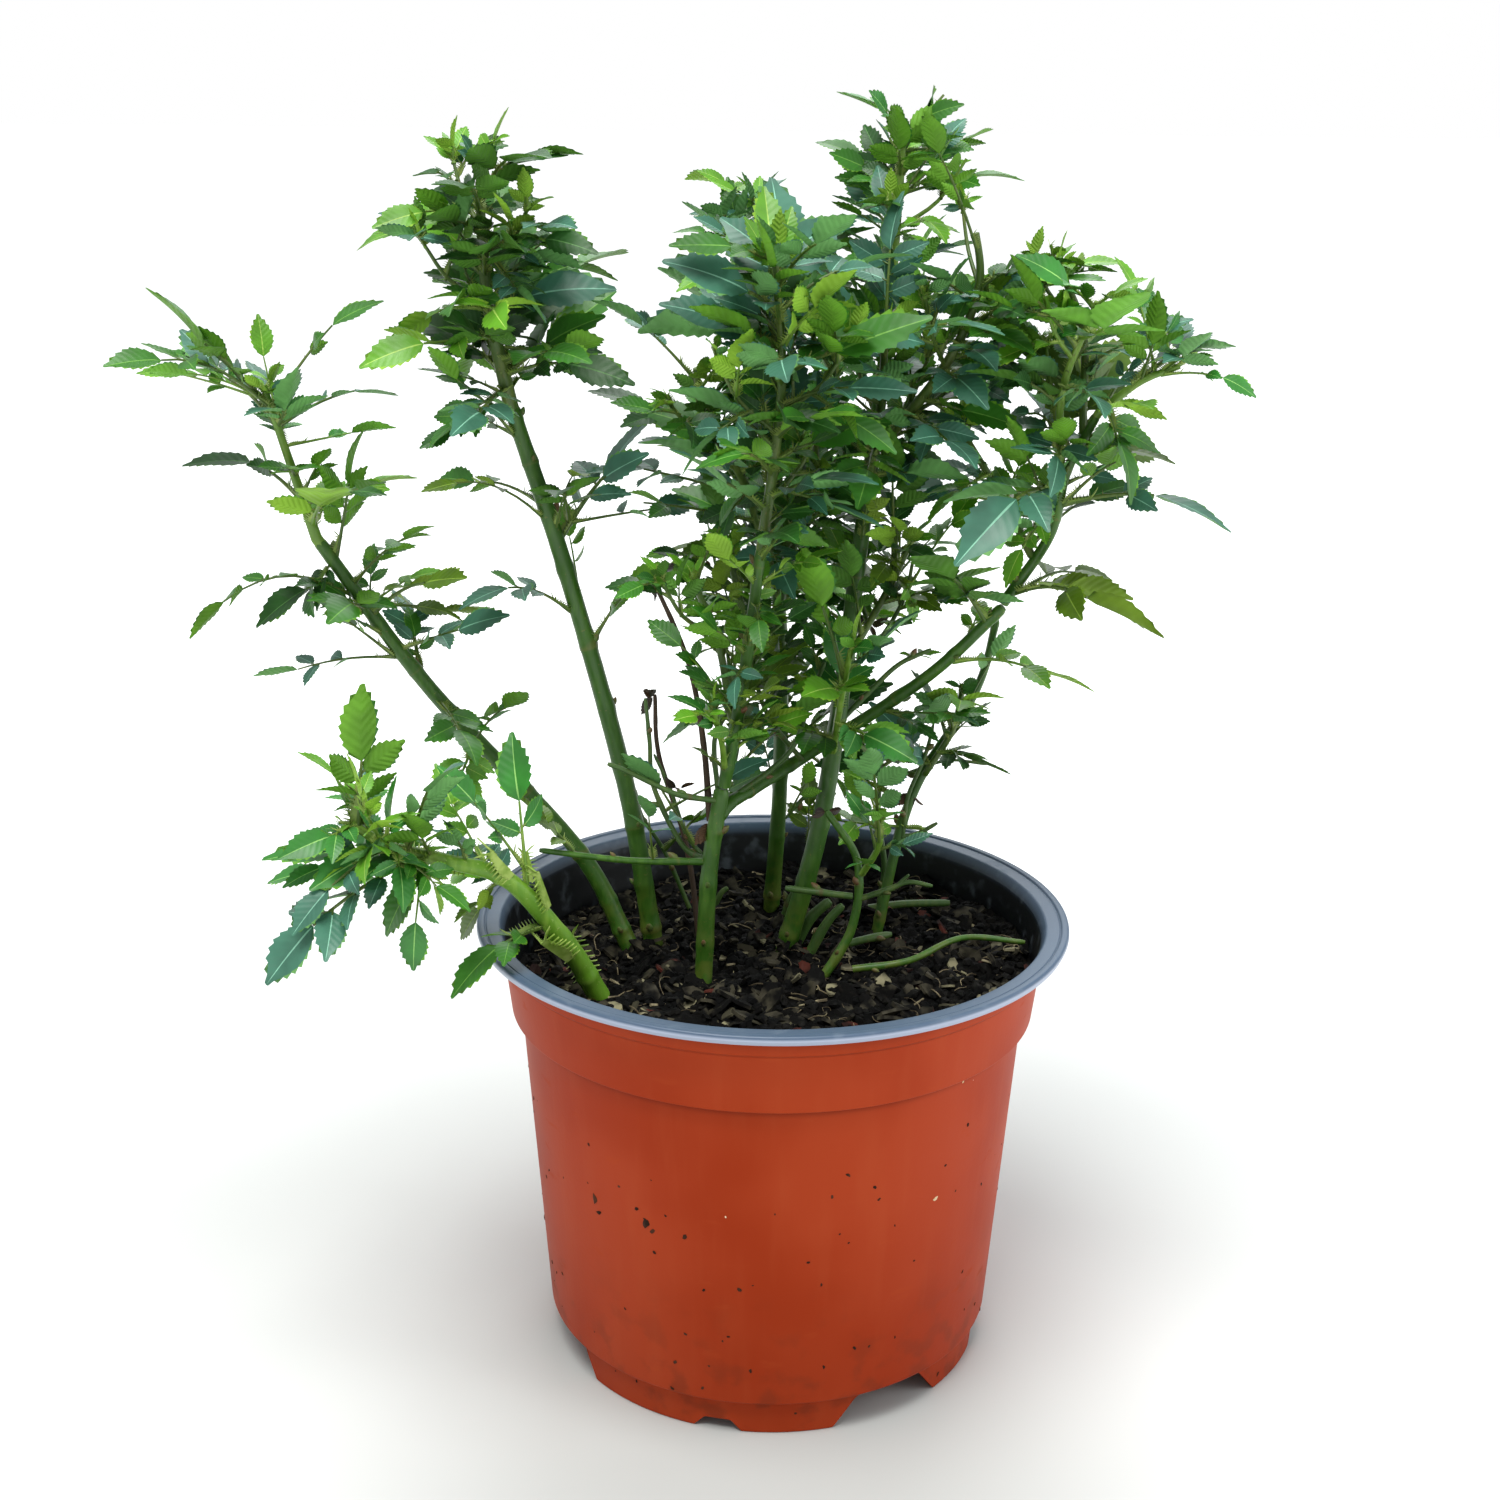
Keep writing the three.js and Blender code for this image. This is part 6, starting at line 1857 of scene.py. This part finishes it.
def inGap(angle, height):
    for kind in ("wideGaps", "smallNotches"):
        for middle in pot[kind]["angles"]:
            away = math.radians(abs((angle - middle + 180) % 360 - 180)) * pot["footRadius"]
            if height < pot["gapsUpTo"] and away < pot[kind]["width"] / 2 + pot[kind]["slant"] + 2:
                return True
    return False


floorLook = {  # metres: the floor glows to white away from the pot, and is darker right in front of it
    "size": 40.0, "colour": (0.70, 0.72, 0.71, 1), "glow": 0.75, "glowFrom": (0.1, 0.55),
    "shade": (0.50, 0.525, 0.51, 1), "shadeAt": -0.075, "shadeReach": (0.02, 0.135),
}


def describeFloor(g):
    where = g.place()
    glow = g.mask(g.length(where), *floorLook["glowFrom"])
    ahead = g.vector("SUBTRACT", where, (potFoot.x, floorLook["shadeAt"], 0))
    near = 1 - g.mask(g.length(ahead), *floorLook["shadeReach"])
    return {
        "Base Color": g.mix(near, floorLook["colour"], floorLook["shade"]),
        "Roughness": 0.75,
        "Specular IOR Level": 0.2,
        "Emission Color": g.mix(glow, (0, 0, 0, 1), (1, 1, 1, 1)),
        "Emission Strength": floorLook["glow"],
    }


def makeFloor():
    half = floorLook["size"] / 2
    mesh = bpy.data.meshes.new("studioFloor")
    corners = [(x * half, y * half, 0) for x, y in ((-1, -1), (1, -1), (1, 1), (-1, 1))]
    mesh.from_pydata(corners, [], [(0, 1, 2, 3)])
    mesh.materials.append(makeMaterial("studio floor", describeFloor))
    floor = bpy.data.objects.new("studioFloor", mesh)
    bpy.context.collection.objects.link(floor)


def finishPiece(piece, slot, *nodes):
    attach(piece, "root")
    if nodes:
        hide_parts(*nodes)


# Building

makeCamera()
makeLights()
makeFloor()
print("camera, lights and floor are in place")

finishPiece(makePot(), "pot", "pot")
for speck in makeDirt():
    finishPiece(speck, "soil")
print("the pot is made")

crust, soilBody = makeSoil()
finishPiece(soilBody, "soil", "potting_soil")
for bits in makeLitter(crust):
    finishPiece(bits, "soil")
print("the soil and what lies on it are made")

greenBark = makeMaterial("green bark", describeBark("305a10", "4c7620", "6b6a30", foot="5c6c24"))
paleBark = makeMaterial("young bark", describeBark("5d8c1e", "84a838", "9db45c"))
twigBark = makeMaterial("twig bark", describeBark("3a5a22", "5a6f30", "5a4628", rough=0.5))
dryBark = makeMaterial("dry bark", describeBark("3a2a1c", "5f4835", "1f1610", rough=0.7))
canePiece, caneBuds = limbPiece("roseCanes", {**canes, **boughRoots}, greenBark)
youngPiece = limbPiece("youngShoot", youngCanes, paleBark)[0]
dryPiece = limbPiece("dryTwigs", dryTwigs, dryBark)[0]
twigPiece, twigBuds = limbPiece("fineTwigs", fineTwigs, twigBark, swell=0.3)
finishPiece(canePiece, "cane", *canes)
finishPiece(twigPiece, "cane")
finishPiece(youngPiece, "young_shoot", *youngCanes)
finishPiece(dryPiece, "dry_wood", *dryTwigs)
print("the canes are made")

for curve, radii in limbs.values():
    thicket.addLimb(curve, radii)
rootShoots()
for row in sprays.values():
    growSpray(*row)
for name, this in shoots.items():
    growShoot(this, youth=0.8 if name == "young_crown" else 0)
for name, row in boughLeaves.items():
    growBoughLeaves(name, *row)
for row in moreLeaves:
    growMore(*row)
shedLeaves()
growLargeSheaths()
growWithered()
print(len(grownLeaves["blades"]), "leaflets have grown on", len(grownLeaves["sheaths"]), "leaves")

masses = {tone: [] for tone in tones}  # the solids that each piece of leaflets stands for
for name, row in sprays.items():
    masses[row[2]].append(name)
for name, this in shoots.items():
    masses[this["palette"]].append(name)
for tone, piece in makeLeaves().items():
    finishPiece(piece, tones[tone]["slot"], *masses[tone])
for name, piece in makeStems().items():
    finishPiece(piece, "young_shoot" if name == "softStems" else "cane")
for name, piece in makeSmallParts(caneBuds + twigBuds).items():
    finishPiece(piece, "young_shoot" if name == "youngSheaths" else "cane")
print("leaves, stems, sheaths and buds are made")
